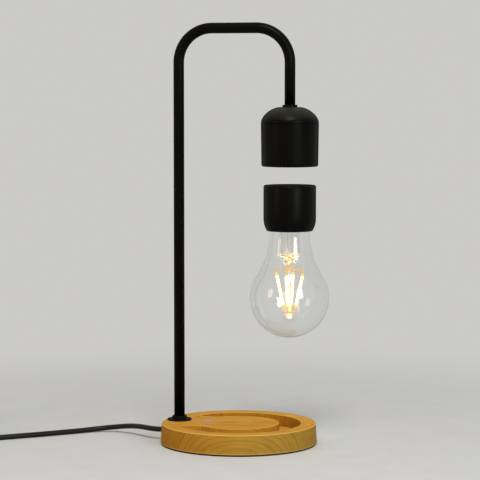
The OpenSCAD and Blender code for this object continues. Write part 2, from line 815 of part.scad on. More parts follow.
arm_wire_turn = 4.2;
wires_low_z = plate_top + wires_d / 2 + 0.2;
module arm_wires() {
    top_c = [post_x + bend_r, bar_z - bend_r];
    far_c = [bulb_x - bend_r, bar_z - bend_r];
    low_c = [post_x + arm_wire_turn, wires_low_z + arm_wire_turn];
    end_z = head_board_top + head_socket_h;
    flat = concat(
        [[board_left, wire_in_z], [board_left - 3, wire_in_z]],
        [for (k = [1 : 5]) [board_left - 3 - 2 * k, wires_low_z + (wire_in_z - wires_low_z) * (1 - smooth_step(k / 5))]],
        arc_points(low_c, arm_wire_turn, 270, 180, 5),
        [for (k = [1 : 4]) [post_x, low_c.y + (top_c.y - low_c.y) * k / 5]],
        arc_points(top_c, bend_r, 180, 90, 9),
        arc_points(far_c, bend_r, 90, 0, 9),
        [[bulb_x, end_z]]
    );
    color("#7c2020") tube_along([for (q = flat) [q.x, 0, q.y]], wires_d / 2, 8, [0, 1, 0]);
}

// Head
module head_collar() {
    color(black_c) at_bulb(dome_top) ring(collar_d / 2, tube_d / 2 + thread_fit, collar_h);
}

// Side of the dome from the seam up to the flat, a superellipse
dome_bend = 1.65;
function dome_side(r, h, flat_r, steps) = [
    for (i = [0 : steps])
        let (a = 90 * i / steps)
            [flat_r + (r - flat_r) * pow(cos(a), 2 / dome_bend), h * pow(sin(a), 2 / dome_bend)]
];

module head_dome() {
    skirt_r = shell_bore_r - fit;
    inner_r = skirt_r - 1.4;
    color(black_c)
        at_bulb(seam_z)
            rotate_extrude()
                polygon(concat(
                    [[skirt_r, -dome_skirt_h], [skirt_r, 0], [head_d / 2 - seam_d, 0]],
                    dome_side(head_d / 2, dome_h - seam_d, dome_flat_r, 14) + [for (i = [0 : 14]) [0, seam_d]],
                    [[tube_d / 2 + thread_fit, dome_h], [tube_d / 2 + thread_fit, dome_h - head_wall]],
                    [for (i = [14 : -1 : 0]) dome_side(inner_r, dome_h - head_wall, dome_flat_r + 2, 14)[i]],
                    [[inner_r, -dome_skirt_h]]
                ));
}

module head_nut() {
    color(brass_c)
        at_bulb(dome_top - head_wall - head_nut_h) ring(head_nut_d / 2, tube_d / 2 + thread_fit, head_nut_h);
}

module head_shell() {
    slope_r = head_low_d / 2;
    color(black_c)
        at_bulb(head_z)
            rotate_extrude()
                polygon(concat(
                    [[0, 0]],
                    arc_points([slope_r - head_edge_r, head_edge_r], head_edge_r, -90, 0, 6),
                    [[head_d / 2, head_shell_h - seam_d], [head_d / 2 - seam_d, head_shell_h],
                     [shell_bore_r, head_shell_h], [shell_bore_r, head_wall], [0, head_wall]]
                ));
}

module transmit_coil() {
    color(copper_c) at_bulb(head_floor) ring(tx_coil_d / 2, tx_hole_d / 2, tx_coil_t);
}

module ferrite_sheet() {
    color(ferrite_c) at_bulb(tx_top) ring(tx_coil_d / 2 + 1, tx_hole_d / 2, ferrite_t);
}

module hall_board() {
    color(board_c) at_bulb(head_floor) cylinder(h = 1, r = hall_board_d / 2);
    color(black_c) at_bulb(head_floor + 1) block([0, 0, 0], [4, 3, 1.2]);
}

module coil_bobbin() {
    color(nylon_c)
        at_bulb(ferrite_top)
            difference() {
                union() {
                    cylinder(h = bobbin_flange_t, r = bobbin_d / 2);
                    cylinder(h = bobbin_h, r = core_d / 2 + bobbin_wall);
                    translate([0, 0, bobbin_h - bobbin_flange_t]) cylinder(h = bobbin_flange_t, r = bobbin_d / 2);
                }
                translate([0, 0, -1]) cylinder(h = bobbin_h + 2, r = core_d / 2 + fit);
            }
}

module lift_coil() {
    color(copper_c)
        at_bulb(ferrite_top + bobbin_flange_t)
            ring(winding_d / 2, core_d / 2 + bobbin_wall + thread_fit, bobbin_h - 2 * bobbin_flange_t);
}

module coil_core() {
    color(steel_c) {
        at_bulb(ferrite_top + 0.2) cylinder(h = bobbin_h - 0.2, r = core_d / 2);
        at_bulb(bobbin_top) cylinder(h = pole_t, r = bias_d / 2 + 1);
    }
}

module bias_magnet() {
    color(magnet_c) at_bulb(pole_top) ring(bias_d / 2, core_d / 2 + 2, bias_t);
}

// A plain ring that carries the circuit board over the magnet
module head_spacer() {
    color(nylon_c)
        at_bulb(bobbin_top)
            ring(head_board_d / 2, bobbin_d / 2 - 1, head_board_z - bobbin_top);
}

module head_board() {
    color(board_c) at_bulb(head_board_z) cylinder(h = head_board_t, r = head_board_d / 2);
}

module head_board_parts() {
    color(nylon_c) at_bulb(head_board_top) block([0, 0, 0], [9, 7, head_socket_h]);
    color(black_c)
        at_bulb(head_board_top) {
            block([11, 3, 0], [7, 7, 1.4]);
            block([-11, 6, 0], [6, 6, 2.2]);
            block([-11, -3, 0], [6, 6, 2.2]);
        }
    color(ferrite_c) at_bulb(head_board_top) translate([0, -12, 0]) cylinder(h = 4, r = 4);
}

// Floating holder
module float_magnet() {
    color(magnet_c) at_bulb(magnet_z) cylinder(h = magnet_top - magnet_z, r = magnet_d / 2);
}

module holder_cap() {
    color(black_c) at_bulb(cap_z) cylinder(h = cap_t, r = holder_bore_r - fit);
}

module receive_coil() {
    color(copper_c) at_bulb(rx_z) ring(holder_bore_r - 1, magnet_d / 2 + spin_fit + 0.7, rx_t);
}

module receive_ferrite() {
    color(ferrite_c) at_bulb(rx_ferrite_z) ring(holder_bore_r - 1, magnet_d / 2 + spin_fit + 0.7, rx_ferrite_t);
}

module magnet_carrier() {
    color(nylon_c) {
        at_bulb(carrier_z)
            difference() {
                cylinder(h = carrier_h, r = holder_bore_r - fit);
                translate([0, 0, carrier_floor]) cylinder(h = carrier_h, r = magnet_d / 2 + spin_fit);
            }
        for (a = [30 : 120 : 270])
            at_bulb(driver_top)
                rotate([0, 0, a]) translate([driver_d / 2 - 4, 0, 0]) cylinder(h = carrier_post + 0.5, r = 1.6);
    }
}

module driver_board() {
    color(board_c) at_bulb(driver_z) cylinder(h = driver_t, r = driver_d / 2);
}

module driver_parts() {
    color(ferrite_c) at_bulb(driver_z - 4.5) translate([6, 6, 0]) cylinder(h = 4.5, r = 4);
    color("#39506e") at_bulb(driver_z - 5) translate([-8, 5, 0]) cylinder(h = 5, r = 3.2);
    color(black_c) at_bulb(driver_z - 1.5) block([0, -8, 0], [7, 5, 1.5]);
    color(nylon_c) at_bulb(driver_z - 3) block([0, 0, 0], [4 * lead_x, 3.2, 3]);
}

module holder_shell() {
    curve_c = [holder_r - holder_curve_r, holder_straight_h];
    foot_h = 0.8;
    curve_end = asin((foot_rise - foot_h) / holder_curve_r);
    foot_r = curve_c.x + holder_curve_r * cos(curve_end);
    color(black_c)
        at_bulb(holder_top)
            rotate_extrude()
                polygon(concat(
                    [[holder_bore_r, 0], [holder_r - holder_chamfer, 0], [holder_r, -holder_chamfer]],
                    [for (q = arc_points([curve_c.x, -curve_c.y], holder_curve_r, 0, -curve_end, 8)) q],
                    arc_points([foot_r - foot_h, foot_h - holder_h], foot_h, -30, -75, 3),
                    [[neck_r + fit, -holder_h], [neck_r + fit, lip_h - holder_h],
                     [cement_r, lip_h - holder_h], [cement_r, neck_hidden - holder_h],
                     [lower_bore_r, neck_hidden + 2 - holder_h], [lower_bore_r, carrier_z - holder_top],
                     [holder_bore_r, carrier_z - holder_top]]
                ));
}

module neck_cement() {
    color("#b9ada0") at_bulb(holder_low + lip_h) ring(cement_r, neck_r, neck_hidden - lip_h);
}

// Bulb
// Outline of the glass from the top of the neck down to the tip, at a depth inside the surface
function glass_side(depth) =
    let (r = bulb_r - depth, s = shoulder_r + depth)
        concat(
            [[neck_r - depth, neck_hidden - 1]],
            arc_points([neck_r + shoulder_r, 0], s, 180, 180 + shoulder_a, 14),
            [for (q = arc_points([0, bulb_c - holder_low], r, shoulder_a, -90, 24)) q]
        );

module bulb_glass() {
    outside = glass_side(0);
    inside = glass_side(glass_t);
    count = len(inside);
    color(glass_c)
        at_bulb(holder_low)
            rotate_extrude()
                polygon(concat(
                    [[neck_r, neck_hidden]],
                    outside,
                    [for (i = [count - 1 : -1 : 0]) inside[i]],
                    [[neck_r - glass_t, neck_hidden]]
                ));
}

// Flare, tube, funnel and column of the stem, one glass piece
module bulb_stem() {
    flare_r = neck_r - glass_t - thread_fit;
    flare_h = 7;
    color(glass_c)
        difference() {
            at_bulb(0)
                rotate_extrude()
                    polygon(concat(
                        [[flare_r, neck_top], [flare_r, neck_top - 1.2]],
                        [for (k = [1 : 5]) let (t = k / 6)
                            [flare_r + (stem_r - flare_r) * t, neck_top - 1.2 - flare_h * t * t]],
                        [[stem_r, neck_top - 1.2 - flare_h], [stem_r, funnel_top]],
                        [for (k = [1 : 5]) let (t = k / 6)
                            [stem_r + (column_r - stem_r) * t, funnel_top - funnel_h * (1 - (1 - t) * (1 - t)) * 0.9]],
                        [[column_r, funnel_low], [column_r, column_low + bead_r * 1.6]],
                        arc_points([0, column_low + bead_r], bead_r, 20, -90, 7),
                        [[0, funnel_top - funnel_h * 0.45], [stem_r * 0.35, funnel_top - funnel_h * 0.2]],
                        [[stem_r - stem_wall, funnel_top], [stem_r - stem_wall, neck_top - flare_h]],
                        [for (k = [4 : -1 : 1]) let (t = k / 5)
                            [flare_r - 1 + (stem_r - flare_r) * t, neck_top - flare_h * t * t]],
                        [[flare_r - 1, neck_top]]
                    ));
            for (s = [-1, 1])
                at_bulb(lead_low - 1) translate([s * lead_x, 0, 0])
                    cylinder(h = neck_top - lead_low, r = lead_r + thread_fit, $fn = 16);
        }
}

module lead_wires() {
    color(steel_c)
        for (s = [-1, 1])
            at_bulb(lead_low) translate([s * lead_x, 0, 0]) cylinder(h = driver_z - 3 - lead_low, r = lead_r, $fn = 16);
}

function stick_angle(i) = stick_turn + i * 360 / sticks;
function around(i, r, z) = [bulb_x + r * cos(stick_angle(i)), r * sin(stick_angle(i)), z];

module spider(z, reach, end_r, end_z) {
    at_bulb(z - spider_ring_h / 2) ring(lead_x + lead_r + 0.6, column_r, spider_ring_h);
    for (i = [0 : sticks - 1]) {
        rod(around(i, column_r + 0.3, z), around(i, reach, z), wire_d / 2);
        rod(around(i, end_r, z), around(i, end_r, end_z), wire_d / 2);
    }
}

module upper_spider() {
    color(brass_c) spider(spider_z, spider_r, stick_top_r, stick_top + wire_seat);
}

module lower_spider() {
    color(brass_c) spider(cage_low, stick_low_r + 0.6, stick_low_r, stick_low - wire_seat);
}

stick_span = norm([stick_top_r - stick_low_r, stick_top - stick_low]);
cap_share = stick_cap_l / stick_span;
function stick_at(i, t) =
    around(i, stick_top_r + (stick_low_r - stick_top_r) * t, stick_top + (stick_low - stick_top) * t);

module led_filaments() {
    color(glow_c)
        for (i = [0 : sticks - 1]) rod(stick_at(i, cap_share), stick_at(i, 1 - cap_share), stick_d / 2);
}

module filament_ends() {
    color(amber_c)
        for (i = [0 : sticks - 1]) {
            rod(stick_at(i, 0), stick_at(i, cap_share), stick_d / 2 - 0.1);
            rod(stick_at(i, 1 - cap_share), stick_at(i, 1), stick_d / 2 - 0.1);
        }
}

// Cord
module cord() {
    color(rubber_c) tube_along(smooth_path(cord_route, 2), cord_d / 2, cord_sides, [0, 0, 1]);
}

module cord_coil() {
    color(rubber_c) tube_along(coil_path, cord_d / 2, coil_sides, [0, 0, 1]);
}

// Turns its children so that +Z runs along the coil's tail
module along_tail(p) {
    translate(p) rotate([0, 0, atan2(tail_dir.y, tail_dir.x)]) rotate([0, 90, 0]) children();
}

module adapter_boot() {
    color(rubber_c) along_tail(boot_tip) cylinder(h = boot_l, r1 = cord_d / 2 + 0.6, r2 = boot_low_r);
}

module adapter_body() {
    color(black_c)
        translate([adapter_near.x, adapter_near.y, 0])
            rotate([0, 0, atan2(tail_dir.y, tail_dir.x)])
                translate([adapter_l / 2, 0, 0]) round_block(adapter_l, adapter_w, adapter_h, adapter_r);
}

module adapter_pins() {
    color(steel_c)
        translate([adapter_near.x, adapter_near.y, adapter_h / 2 - pin_w / 2])
            rotate([0, 0, atan2(tail_dir.y, tail_dir.x)])
                for (s = [-1, 1])
                    block([adapter_l + pin_l / 2, s * pin_gap / 2, 0], [pin_l, pin_t, pin_w]);
}

union() {  // cord_coil
    echo(str("Least gap of the coil to itself: ", coil_gap, " mm"));
    echo(str("Length of the coil: ", path_length(coil_path), " mm"));
    echo(str("Length of the free stretch: ", path_length(smooth_path(cord_route, 2)), " mm"));
}
anti_slip_pad();
base_plate();
plate_screws();
wood_base();
control_board();
board_parts();
board_spacers();
board_screws();
touch_board();
indicator_led();
light_guide();
cord_grommet();
cord_tail();
cord_clamp();
clamp_screw();
base_flange();
arm_washer();
arm_nut();
arm_stud();
arm_tube();
arm_wires();
head_collar();
head_dome();
head_nut();
head_shell();
transmit_coil();
ferrite_sheet();
hall_board();
coil_bobbin();
lift_coil();
coil_core();
bias_magnet();
head_spacer();
head_board();
head_board_parts();
float_magnet();
holder_cap();
receive_coil();
receive_ferrite();
magnet_carrier();
driver_board();
driver_parts();
holder_shell();
neck_cement();
bulb_glass();
bulb_stem();
lead_wires();
upper_spider();
led_filaments();
filament_ends();
lower_spider();
cord();
cord_coil();
adapter_boot();
adapter_body();
adapter_pins();
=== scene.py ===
import json
from math import asin, atan2, cos, degrees, pi, radians, sin, sqrt, tau
import bmesh
import bpy
from mathutils import Matrix, Vector


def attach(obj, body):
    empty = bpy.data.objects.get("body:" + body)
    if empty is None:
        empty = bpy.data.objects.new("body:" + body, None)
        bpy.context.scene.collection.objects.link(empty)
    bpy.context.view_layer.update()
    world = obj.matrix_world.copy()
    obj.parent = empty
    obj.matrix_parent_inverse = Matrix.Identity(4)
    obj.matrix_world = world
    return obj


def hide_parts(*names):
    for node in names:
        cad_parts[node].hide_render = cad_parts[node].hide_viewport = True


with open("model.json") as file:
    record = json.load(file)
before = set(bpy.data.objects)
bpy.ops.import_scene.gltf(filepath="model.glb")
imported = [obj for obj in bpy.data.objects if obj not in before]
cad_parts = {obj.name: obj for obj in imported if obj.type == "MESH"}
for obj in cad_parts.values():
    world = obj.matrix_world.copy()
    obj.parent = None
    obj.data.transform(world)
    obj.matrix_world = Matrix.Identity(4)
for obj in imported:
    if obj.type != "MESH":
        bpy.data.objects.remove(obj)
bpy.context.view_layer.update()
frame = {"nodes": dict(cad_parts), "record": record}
scene = bpy.context.scene
mm = 0.001  # pieces are drawn in millimetres, as in the part's source; room and finishes are in metres


# Camera, room and light
def aimed(thing, place, target):
    thing.location = place
    thing.rotation_euler = (Vector(target) - Vector(place)).to_track_quat("-Z", "Y").to_euler()
    scene.collection.objects.link(thing)
    return thing


view = {
    "lens": 153, "sensor": 36, "reach": 200,
    "place": (0.5037, -1.8334, 0.3387), "target": (0.0011, 0.0003, 0.1917),
}
camera = bpy.data.cameras.new("camera")
camera.lens, camera.sensor_width, camera.clip_end = view["lens"], view["sensor"], view["reach"]
scene.camera = aimed(bpy.data.objects.new("camera", camera), view["place"], view["target"])
scene.view_settings.view_transform = "Standard"

room = {
    "paper": (0.60, 0.595, 0.575),  # background
    "floorTones": ((0.585, 0.58, 0.56), (0.615, 0.61, 0.59)),
    "fade": (0.15, 0.75),  # the floor goes over into the background between these distances
    "floorHalf": 60,
    "sky": 0.40,
    "skyTone": (0.97, 0.985, 1.0),
    "aim": (0, 0, 0.17),
    "lamps": (  # name, place, width, height, power, colour, shows in reflections
        ("frontSoftbox", (0.26, -0.96, 1.9), 0.9, 0.9, 3.5, (1.0, 1.0, 1.0), False),
        ("keyLamp", (0.29, -0.94, 1.8), 0.45, 0.45, 18, (1.0, 1.0, 0.95), True),
        ("rightSoftbox", (1.42, -1.32, 0.75), 0.55, 1.0, 14, (0.96, 0.99, 1.0), True),
        ("leftSoftbox", (-1.5, -1.5, 0.7), 0.6, 0.8, 5, (1.0, 0.70, 0.50), True),
    ),
}
opened = {}  # the node tree that new nodes go into


def openTree(tree):
    tree.nodes.clear()
    opened["tree"] = tree
    return tree


# Links a socket or a node's first output, or sets a value; colours leave out their fourth number
def plug(socket, value):
    if isinstance(value, bpy.types.Node):
        value = value.outputs[0]
    if isinstance(value, bpy.types.NodeSocket):
        opened["tree"].links.new(value, socket)
    elif socket.type == "RGBA":
        socket.default_value = (*value, 1)
    else:
        socket.default_value = value


def addNode(kind, inputs=None, **settings):
    made = opened["tree"].nodes.new(kind)
    for name, value in settings.items():
        setattr(made, name, value)
    for name, value in (inputs or {}).items():
        plug(made.inputs[name], value)
    return made


def calc(operation, *values, clamp=False):
    return addNode("ShaderNodeMath", dict(enumerate(values)), operation=operation, use_clamp=clamp)


def plus(first, *others):
    for value in others:
        first = calc("ADD", first, value)
    return first


def times(first, *others):
    for value in others:
        first = calc("MULTIPLY", first, value)
    return first


def blend(factor, first, second, kind="MIX"):
    made = addNode("ShaderNodeMix", data_type="RGBA", blend_type=kind)
    for socket, value in ((0, factor), (6, first), (7, second)):
        plug(made.inputs[socket], value)
    return made.outputs[2]


def spread(value, low, high, toLow=0.0, toHigh=1.0, smooth=False):
    return addNode("ShaderNodeMapRange", {
        "Value": value, "From Min": low, "From Max": high, "To Min": toLow, "To Max": toHigh},
        interpolation_type="SMOOTHSTEP" if smooth else "LINEAR")


def noise(vector, scale, detail=2.0, roughness=0.5):
    return addNode("ShaderNodeTexNoise", {
        "Vector": vector, "Scale": scale, "Detail": detail, "Roughness": roughness})


def noiseAlong(way, scale, detail):
    return addNode("ShaderNodeTexNoise", {"W": way, "Scale": scale, "Detail": detail}, noise_dimensions="1D")


def parts(vector):
    return addNode("ShaderNodeSeparateXYZ", {0: vector}).outputs


def moved(vector, **inputs):
    return addNode("ShaderNodeMapping", {"Vector": vector, **inputs})


def objectPlace(centre=(0, 0, 0)):
    return moved(addNode("ShaderNodeTexCoord").outputs["Object"], Location=centre)


def diagonal(first, second):
    return calc("SQRT", plus(times(first, first), times(second, second)))


# Distance from the upright axis, and height
def aroundUpright(place):
    x, y, z = parts(place)
    return diagonal(x, y), z


def distance(place, centre):
    return addNode("ShaderNodeVectorMath", {0: place, 1: centre}, operation="DISTANCE").outputs["Value"]


def upward():
    return parts(addNode("ShaderNodeNewGeometry").outputs["Normal"])[2]


def bumped(height, strength, depth):
    return addNode("ShaderNodeBump", {"Height": height, "Strength": strength, "Distance": depth})


def ramp(factor, first, last, *stops):
    made = addNode("ShaderNodeValToRGB", {"Fac": factor})
    ends = made.color_ramp.elements
    ends[0].color, ends[1].color = (*first, 1), (*last, 1)
    for position, tone in stops:
        ends.new(position).color = (*tone, 1)
    return made


def newMaterial(name):
    material = bpy.data.materials.new(name)
    material.use_nodes = True
    openTree(material.node_tree)
    return material


def principled(colour, roughness, normal, others):
    return addNode("ShaderNodeBsdfPrincipled", {
        "Base Color": colour, "Roughness": roughness, "Normal": normal, **others})


def surface(material, shader):
    addNode("ShaderNodeOutputMaterial", {"Surface": shader})
    return material


world = bpy.data.worlds.new("room")
scene.world = world
world.use_nodes = True
openTree(world.node_tree)
rays = addNode("ShaderNodeLightPath").outputs
seen = calc("MAXIMUM", calc("MAXIMUM", rays["Is Camera Ray"], rays["Is Glossy Ray"]), rays["Is Transmission Ray"])
skyMix = addNode("ShaderNodeMixShader", {
    0: seen,
    1: addNode("ShaderNodeBackground", {"Color": room["skyTone"], "Strength": room["sky"]}),
    2: addNode("ShaderNodeBackground", {"Color": room["paper"], "Strength": 1.0})})
addNode("ShaderNodeOutputWorld", {"Surface": skyMix})

for name, place, width, height, power, tone, mirrored in room["lamps"]:
    light = bpy.data.lights.new(name, "AREA")
    light.shape = "RECTANGLE"
    light.size, light.size_y, light.energy, light.color = width, height, power, tone
    aimed(bpy.data.objects.new(name, light), place, room["aim"]).visible_glossy = mirrored

paperMaterial = newMaterial("paperFloor")
place = objectPlace()
paperTone = blend(spread(noise(place, 30, 4), 0.3, 0.7), *room["floorTones"])
paper = principled(paperTone, 0.85, bumped(noise(place, 900, 2), 0.08, 0.0002), {"Specular IOR Level": 0.25})
fromMiddle = addNode("ShaderNodeVectorMath", {0: place}, operation="LENGTH").outputs["Value"]
farPaper = addNode("ShaderNodeEmission", {"Color": room["paper"], "Strength": 1.0})
surface(paperMaterial, addNode("ShaderNodeMixShader", {
    0: spread(fromMiddle, *room["fade"], smooth=True), 1: paper, 2: farPaper}))
floorMesh = bpy.data.meshes.new("floor")
floorCorners = [(x * room["floorHalf"], y * room["floorHalf"], 0) for x, y in ((-1, -1), (1, -1), (1, 1), (-1, 1))]
floorMesh.from_pydata(floorCorners, [], [(0, 1, 2, 3)])
floorMesh.materials.append(paperMaterial)
floor = bpy.data.objects.new("floor", floorMesh)
scene.collection.objects.link(floor)
print("room ready")


# Effects that several finishes share
def newGroup(name, inputs, outputs):
    group = openTree(bpy.data.node_groups.new(name, "ShaderNodeTree"))
    for socket, value in inputs.items():
        kind = "NodeSocketVector" if isinstance(value, tuple) else "NodeSocketFloat"
        group.interface.new_socket(socket, in_out="INPUT", socket_type=kind).default_value = value
    for socket in outputs:
        group.interface.new_socket(socket, in_out="OUTPUT", socket_type="NodeSocketFloat")
    return group, addNode("NodeGroupInput").outputs, addNode("NodeGroupOutput").inputs


def placeGroup(group, **inputs):
    return addNode("ShaderNodeGroup", inputs, node_tree=group).outputs


# Fine grain of a coat or a moulded skin, with broad patches
fineGrain, given, result = newGroup(
    "fineGrain", {"Place": (0, 0, 0), "Grain": 1500.0, "Patch": 40.0}, ("Height", "Patches"))
plug(result["Height"], noise(given["Place"], given["Grain"], 3, 0.6))
plug(result["Patches"], spread(noise(given["Place"], given["Patch"], 3), 0.3, 0.7))

# Thin dust on faces that look up
dustFilm, given, result = newGroup("dustFilm", {"Place": (0, 0, 0), "Amount": 0.1}, ("Mask",))
specks = spread(noise(given["Place"], 700, 4, 0.7), 0.45, 0.75)
plug(result["Mask"], times(spread(upward(), 0.2, 1.0), specks, given["Amount"]))

# Fine rings that a lathe leaves round an upright axis
turnMarks, given, result = newGroup("turnMarks", {"Place": (0, 0, 0), "Spacing": 0.0004}, ("Height", "Tone"))
ringStep = calc("DIVIDE", plus(*aroundUpright(given["Place"])), given["Spacing"])
plug(result["Height"], calc("SINE", ringStep))
plug(result["Tone"], noiseAlong(ringStep, 0.6, 2.0))

# A small knot or mark in the wood
knotMark, given, result = newGroup(
    "knotMark", {"Place": (0, 0, 0), "Centre": (0, 0, 0), "Radius": 0.001}, ("Mask",))
uneven = spread(noise(given["Place"], 700, 2), 0.3, 0.7, 0.75, 1.3)
ragged = times(distance(given["Place"], given["Centre"]), uneven)
plug(result["Mask"], spread(ragged, given["Radius"], times(given["Radius"], 0.45)))

# Slow waves in blown or drawn glass
glassFlow, given, result = newGroup("glassFlow", {"Place": (0, 0, 0), "Scale": 30.0}, ("Height", "Film"))
drawn = moved(given["Place"], Scale=(1, 1, 0.35))
plug(result["Height"], noise(drawn, given["Scale"], 1, 0.4))
plug(result["Film"], spread(noise(given["Place"], 90, 4, 0.6), 0.55, 0.8))
black = (0, 0, 0)


# Finishes
def plainFinish(
        name, dark, light, grain, smooth, rough, bump, specular=0.5, metal=0.0, dust=0, grazing=0, upper=None,
        paintedHighlightFrom=0):
    material = newMaterial(name)
    place = objectPlace()
    skin = placeGroup(fineGrain, Place=place, Grain=grain, Patch=40.0)
    colour = blend(skin["Patches"], dark, light)
    if dust:
        colour = blend(placeGroup(dustFilm, Place=place, Amount=dust)["Mask"], colour, (0.30, 0.29, 0.27))
    if upper:  # painted highlight: the dome is paler olive where it looks up, under the key lamp
        onDome = spread(parts(place)[2], paintedHighlightFrom, paintedHighlightFrom + 0.0008)
        colour = blend(times(onDome, spread(upward(), 0.35, 0.9)), colour, upper)
    roughness = spread(skin["Patches"], 0, 1, smooth, rough)
    if grazing:  # a fine coat loses its gloss at flat angles
        facing = addNode("ShaderNodeLayerWeight", {"Blend": 0.5}).outputs["Facing"]
        roughness = plus(roughness, spread(facing, 0.55, 1.0, 0.0, grazing - rough))
    normal = bumped(skin["Height"], bump, 0.0001)
    return surface(material, principled(colour, roughness, normal, {
        "Metallic": metal, "Specular IOR Level": specular}))


def turnedFinish(
        name, dark, light, spacing, smooth, rough, centre=(0, 0, 0), glow=black, plain=None, above=0, strength=0.0):
    material = newMaterial(name)
    place = objectPlace(centre)
    marks = placeGroup(turnMarks, Place=place, Spacing=spacing)
    colour = blend(spread(marks["Tone"], 0.35, 0.65), dark, light)
    if plain:  # light of the sticks on the crown, not on the wires above it
        onCrown = spread(parts(place)[2], above, above - 0.004)
        colour = blend(onCrown, plain, colour)
        glow = blend(onCrown, black, glow)
    roughness = spread(marks["Tone"], 0.3, 0.7, smooth, rough)
    return surface(material, principled(colour, roughness, bumped(marks["Height"], 0.15, 0.00005), {
        "Metallic": 1.0, "Emission Color": glow, "Emission Strength": strength}))


beech = {
    "early": (0.578, 0.304, 0.042),
    "middle": (0.518, 0.257, 0.033),
    "late": (0.312, 0.127, 0.014),
    "thin": (0.445, 0.208, 0.026),
    "fibreDark": (0.41, 0.185, 0.023),
    "streak": (0.270, 0.094, 0.010),
    "edge": (0.710, 0.445, 0.110),  # painted highlight along the roundings
    "cloud": (1.0, 0.90, 0.80),
    "sides": ((0.76, 0.68, 0.55), (0.74, 0.80, 0.86), (0.64, 0.76, 1.0)),  # painted light on the outer wall along the board: warmer on the left, cooler on the right; partly darker end grain
    "inner": (0.70, 0.60, 0.42),  # painted shade on the channel's outer wall, deeper orange in the recess
    "island": (0.86, 0.82, 0.66),  # painted shade, milder and warmer, on the channel's inner wall round the island
    "lieTurn": radians(-15.33),  # the board's fibres run along this direction
    "pith": (0, 0.0801, -0.0025),  # moves the heart of the tree to the origin
    "ringGap": 0.0044,
    "ring": (  # tones across one year's growth
        (0.30, "early"), (0.37, "thin"), (0.41, "early"), (0.55, "early"), (0.80, "middle"), (0.90, "late"),
        (0.94, "middle")),
    "streakCentre": (0.008, 0.004, 0.0195),
    "knots": (  # place, radius and colour of each mark
        ((0.0690, 0.0085, 0.0195), 0.0017, (0.045, 0.024, 0.008)),
        ((0.0650, 0.0068, 0.0195), 0.0024, (0.78, 0.43, 0.19)),
        ((-0.0460, 0.0215, 0.0195), 0.0026, (0.17, 0.062, 0.010)),
    ),
    "check": (0.0379, 0.0443, 0),  # fine crack down the channel's wall
    "lit": (-0.0303, 0, 0.0195),  # violet light that the touch point spills on the wood
    "spill": (0.008, 0.004, 0.26),
}


def beechFinish(look):
    material = newMaterial("oiledBeech")
    whole = addNode("ShaderNodeTexCoord").outputs["Object"]
    turned = moved(whole, Rotation=(0, 0, look["lieTurn"]))
    board = moved(turned, Location=look["pith"])
    longWay = moved(board, Scale=(0.14, 1, 1))
    fibreWay = moved(board, Scale=(0.035, 1, 1))
    fromAxis, level = aroundUpright(whole)
    facing = calc("ABSOLUTE", upward())
    # Growth rings round the heart
    sway = spread(noise(longWay, 26, 2), 0.2, 0.8, -0.0026, 0.0026)
    waver = spread(noise(longWay, 130, 2), 0.2, 0.8, -0.0004, 0.0004)
    way = plus(diagonal(*parts(board)[1:]), sway, waver)
    wider = times(noiseAlong(way, 170.0, 1.0), 1.7)
    share = calc("FRACT", plus(calc("DIVIDE", way, look["ringGap"]), wider))
    grown = ramp(share, look["early"], look["early"], *((position, look[tone]) for position, tone in look["ring"]))
    faint = spread(noise(longWay, 60, 3), 0.35, 0.65, 0.4, 0.95)
    grown = blend(faint, look["early"], grown)
    # Streaks, fibres and clouds
    streaks = spread(noise(longWay, 170, 3, 0.6), 0.46, 0.66)
    nearMiddle = spread(distance(whole, look["streakCentre"]), 0.016, 0.038, 1.0, 0.2)
    toned = blend(times(streaks, nearMiddle), grown, look["streak"])
    fibres = spread(noise(fibreWay, 1500, 3, 0.65), 0.45, 0.8)
    toned = blend(times(fibres, 0.45), toned, look["fibreDark"])
    cloud = spread(noise(longWay, 20, 2), 0.3, 0.7)
    toned = blend(cloud, toned, blend(1.0, toned, look["cloud"], "MULTIPLY"))
    # Painted light and shade on the upright faces: warmer on the left, cooler on the right, deeper orange in the
    # channel; partly darker end grain
    left, middle, right = look["sides"]
    paintedWallLightShade = ramp(spread(parts(turned)[0], -0.06, 0.06), left, right, (0.5, middle))
    within = spread(fromAxis, 0.0605, 0.0595)
    paintedWallLightShade = blend(within, paintedWallLightShade, look["inner"])
    paintedWallLightShade = blend(spread(fromAxis, 0.0565, 0.0545), paintedWallLightShade, look["island"])
    side = spread(facing, 0.8, 0.35)
    toned = blend(side, toned, blend(1.0, toned, paintedWallLightShade, "MULTIPLY"))
    # Painted highlights along the roundings of the rim, the foot and the channel's lips
    rim = times(spread(fromAxis, 0.0712, 0.0719), spread(level, 0.0186, 0.0190), 0.38)
    foot = times(spread(level, 0.0027, 0.0021), spread(fromAxis, 0.072, 0.073), 0.45)
    lipHighlight = times(spread(facing, 0.35, 0.7), spread(facing, 0.99, 0.93), spread(level, 0.0184, 0.0188), 0.45)
    for mask in (rim, foot, lipHighlight):
        toned = blend(mask, toned, look["edge"])
    for centre, radius, tone in look["knots"]:
        mark = placeGroup(knotMark, Place=whole, Centre=centre, Radius=radius)["Mask"]
        toned = blend(times(mark, 0.85), toned, tone)
    check = placeGroup(knotMark, Place=moved(whole, Scale=(1, 1, 0)), Centre=look["check"], Radius=0.0007)["Mask"]
    toned = blend(times(check, within, 0.6), toned, look["fibreDark"])
    lit = calc("POWER", spread(distance(whole, look["lit"]), 0.008, 0.0015), 2.5)
    normal = bumped(plus(times(fibres, -0.6), times(share, 0.35)), 0.25, 0.00012)
    return surface(material, principled(toned, spread(fibres, 0, 1, 0.5, 0.65), normal, {
        "Specular IOR Level": 0.01, "Emission Color": blend(lit, black, look["spill"]), "Emission Strength": 1.0}))


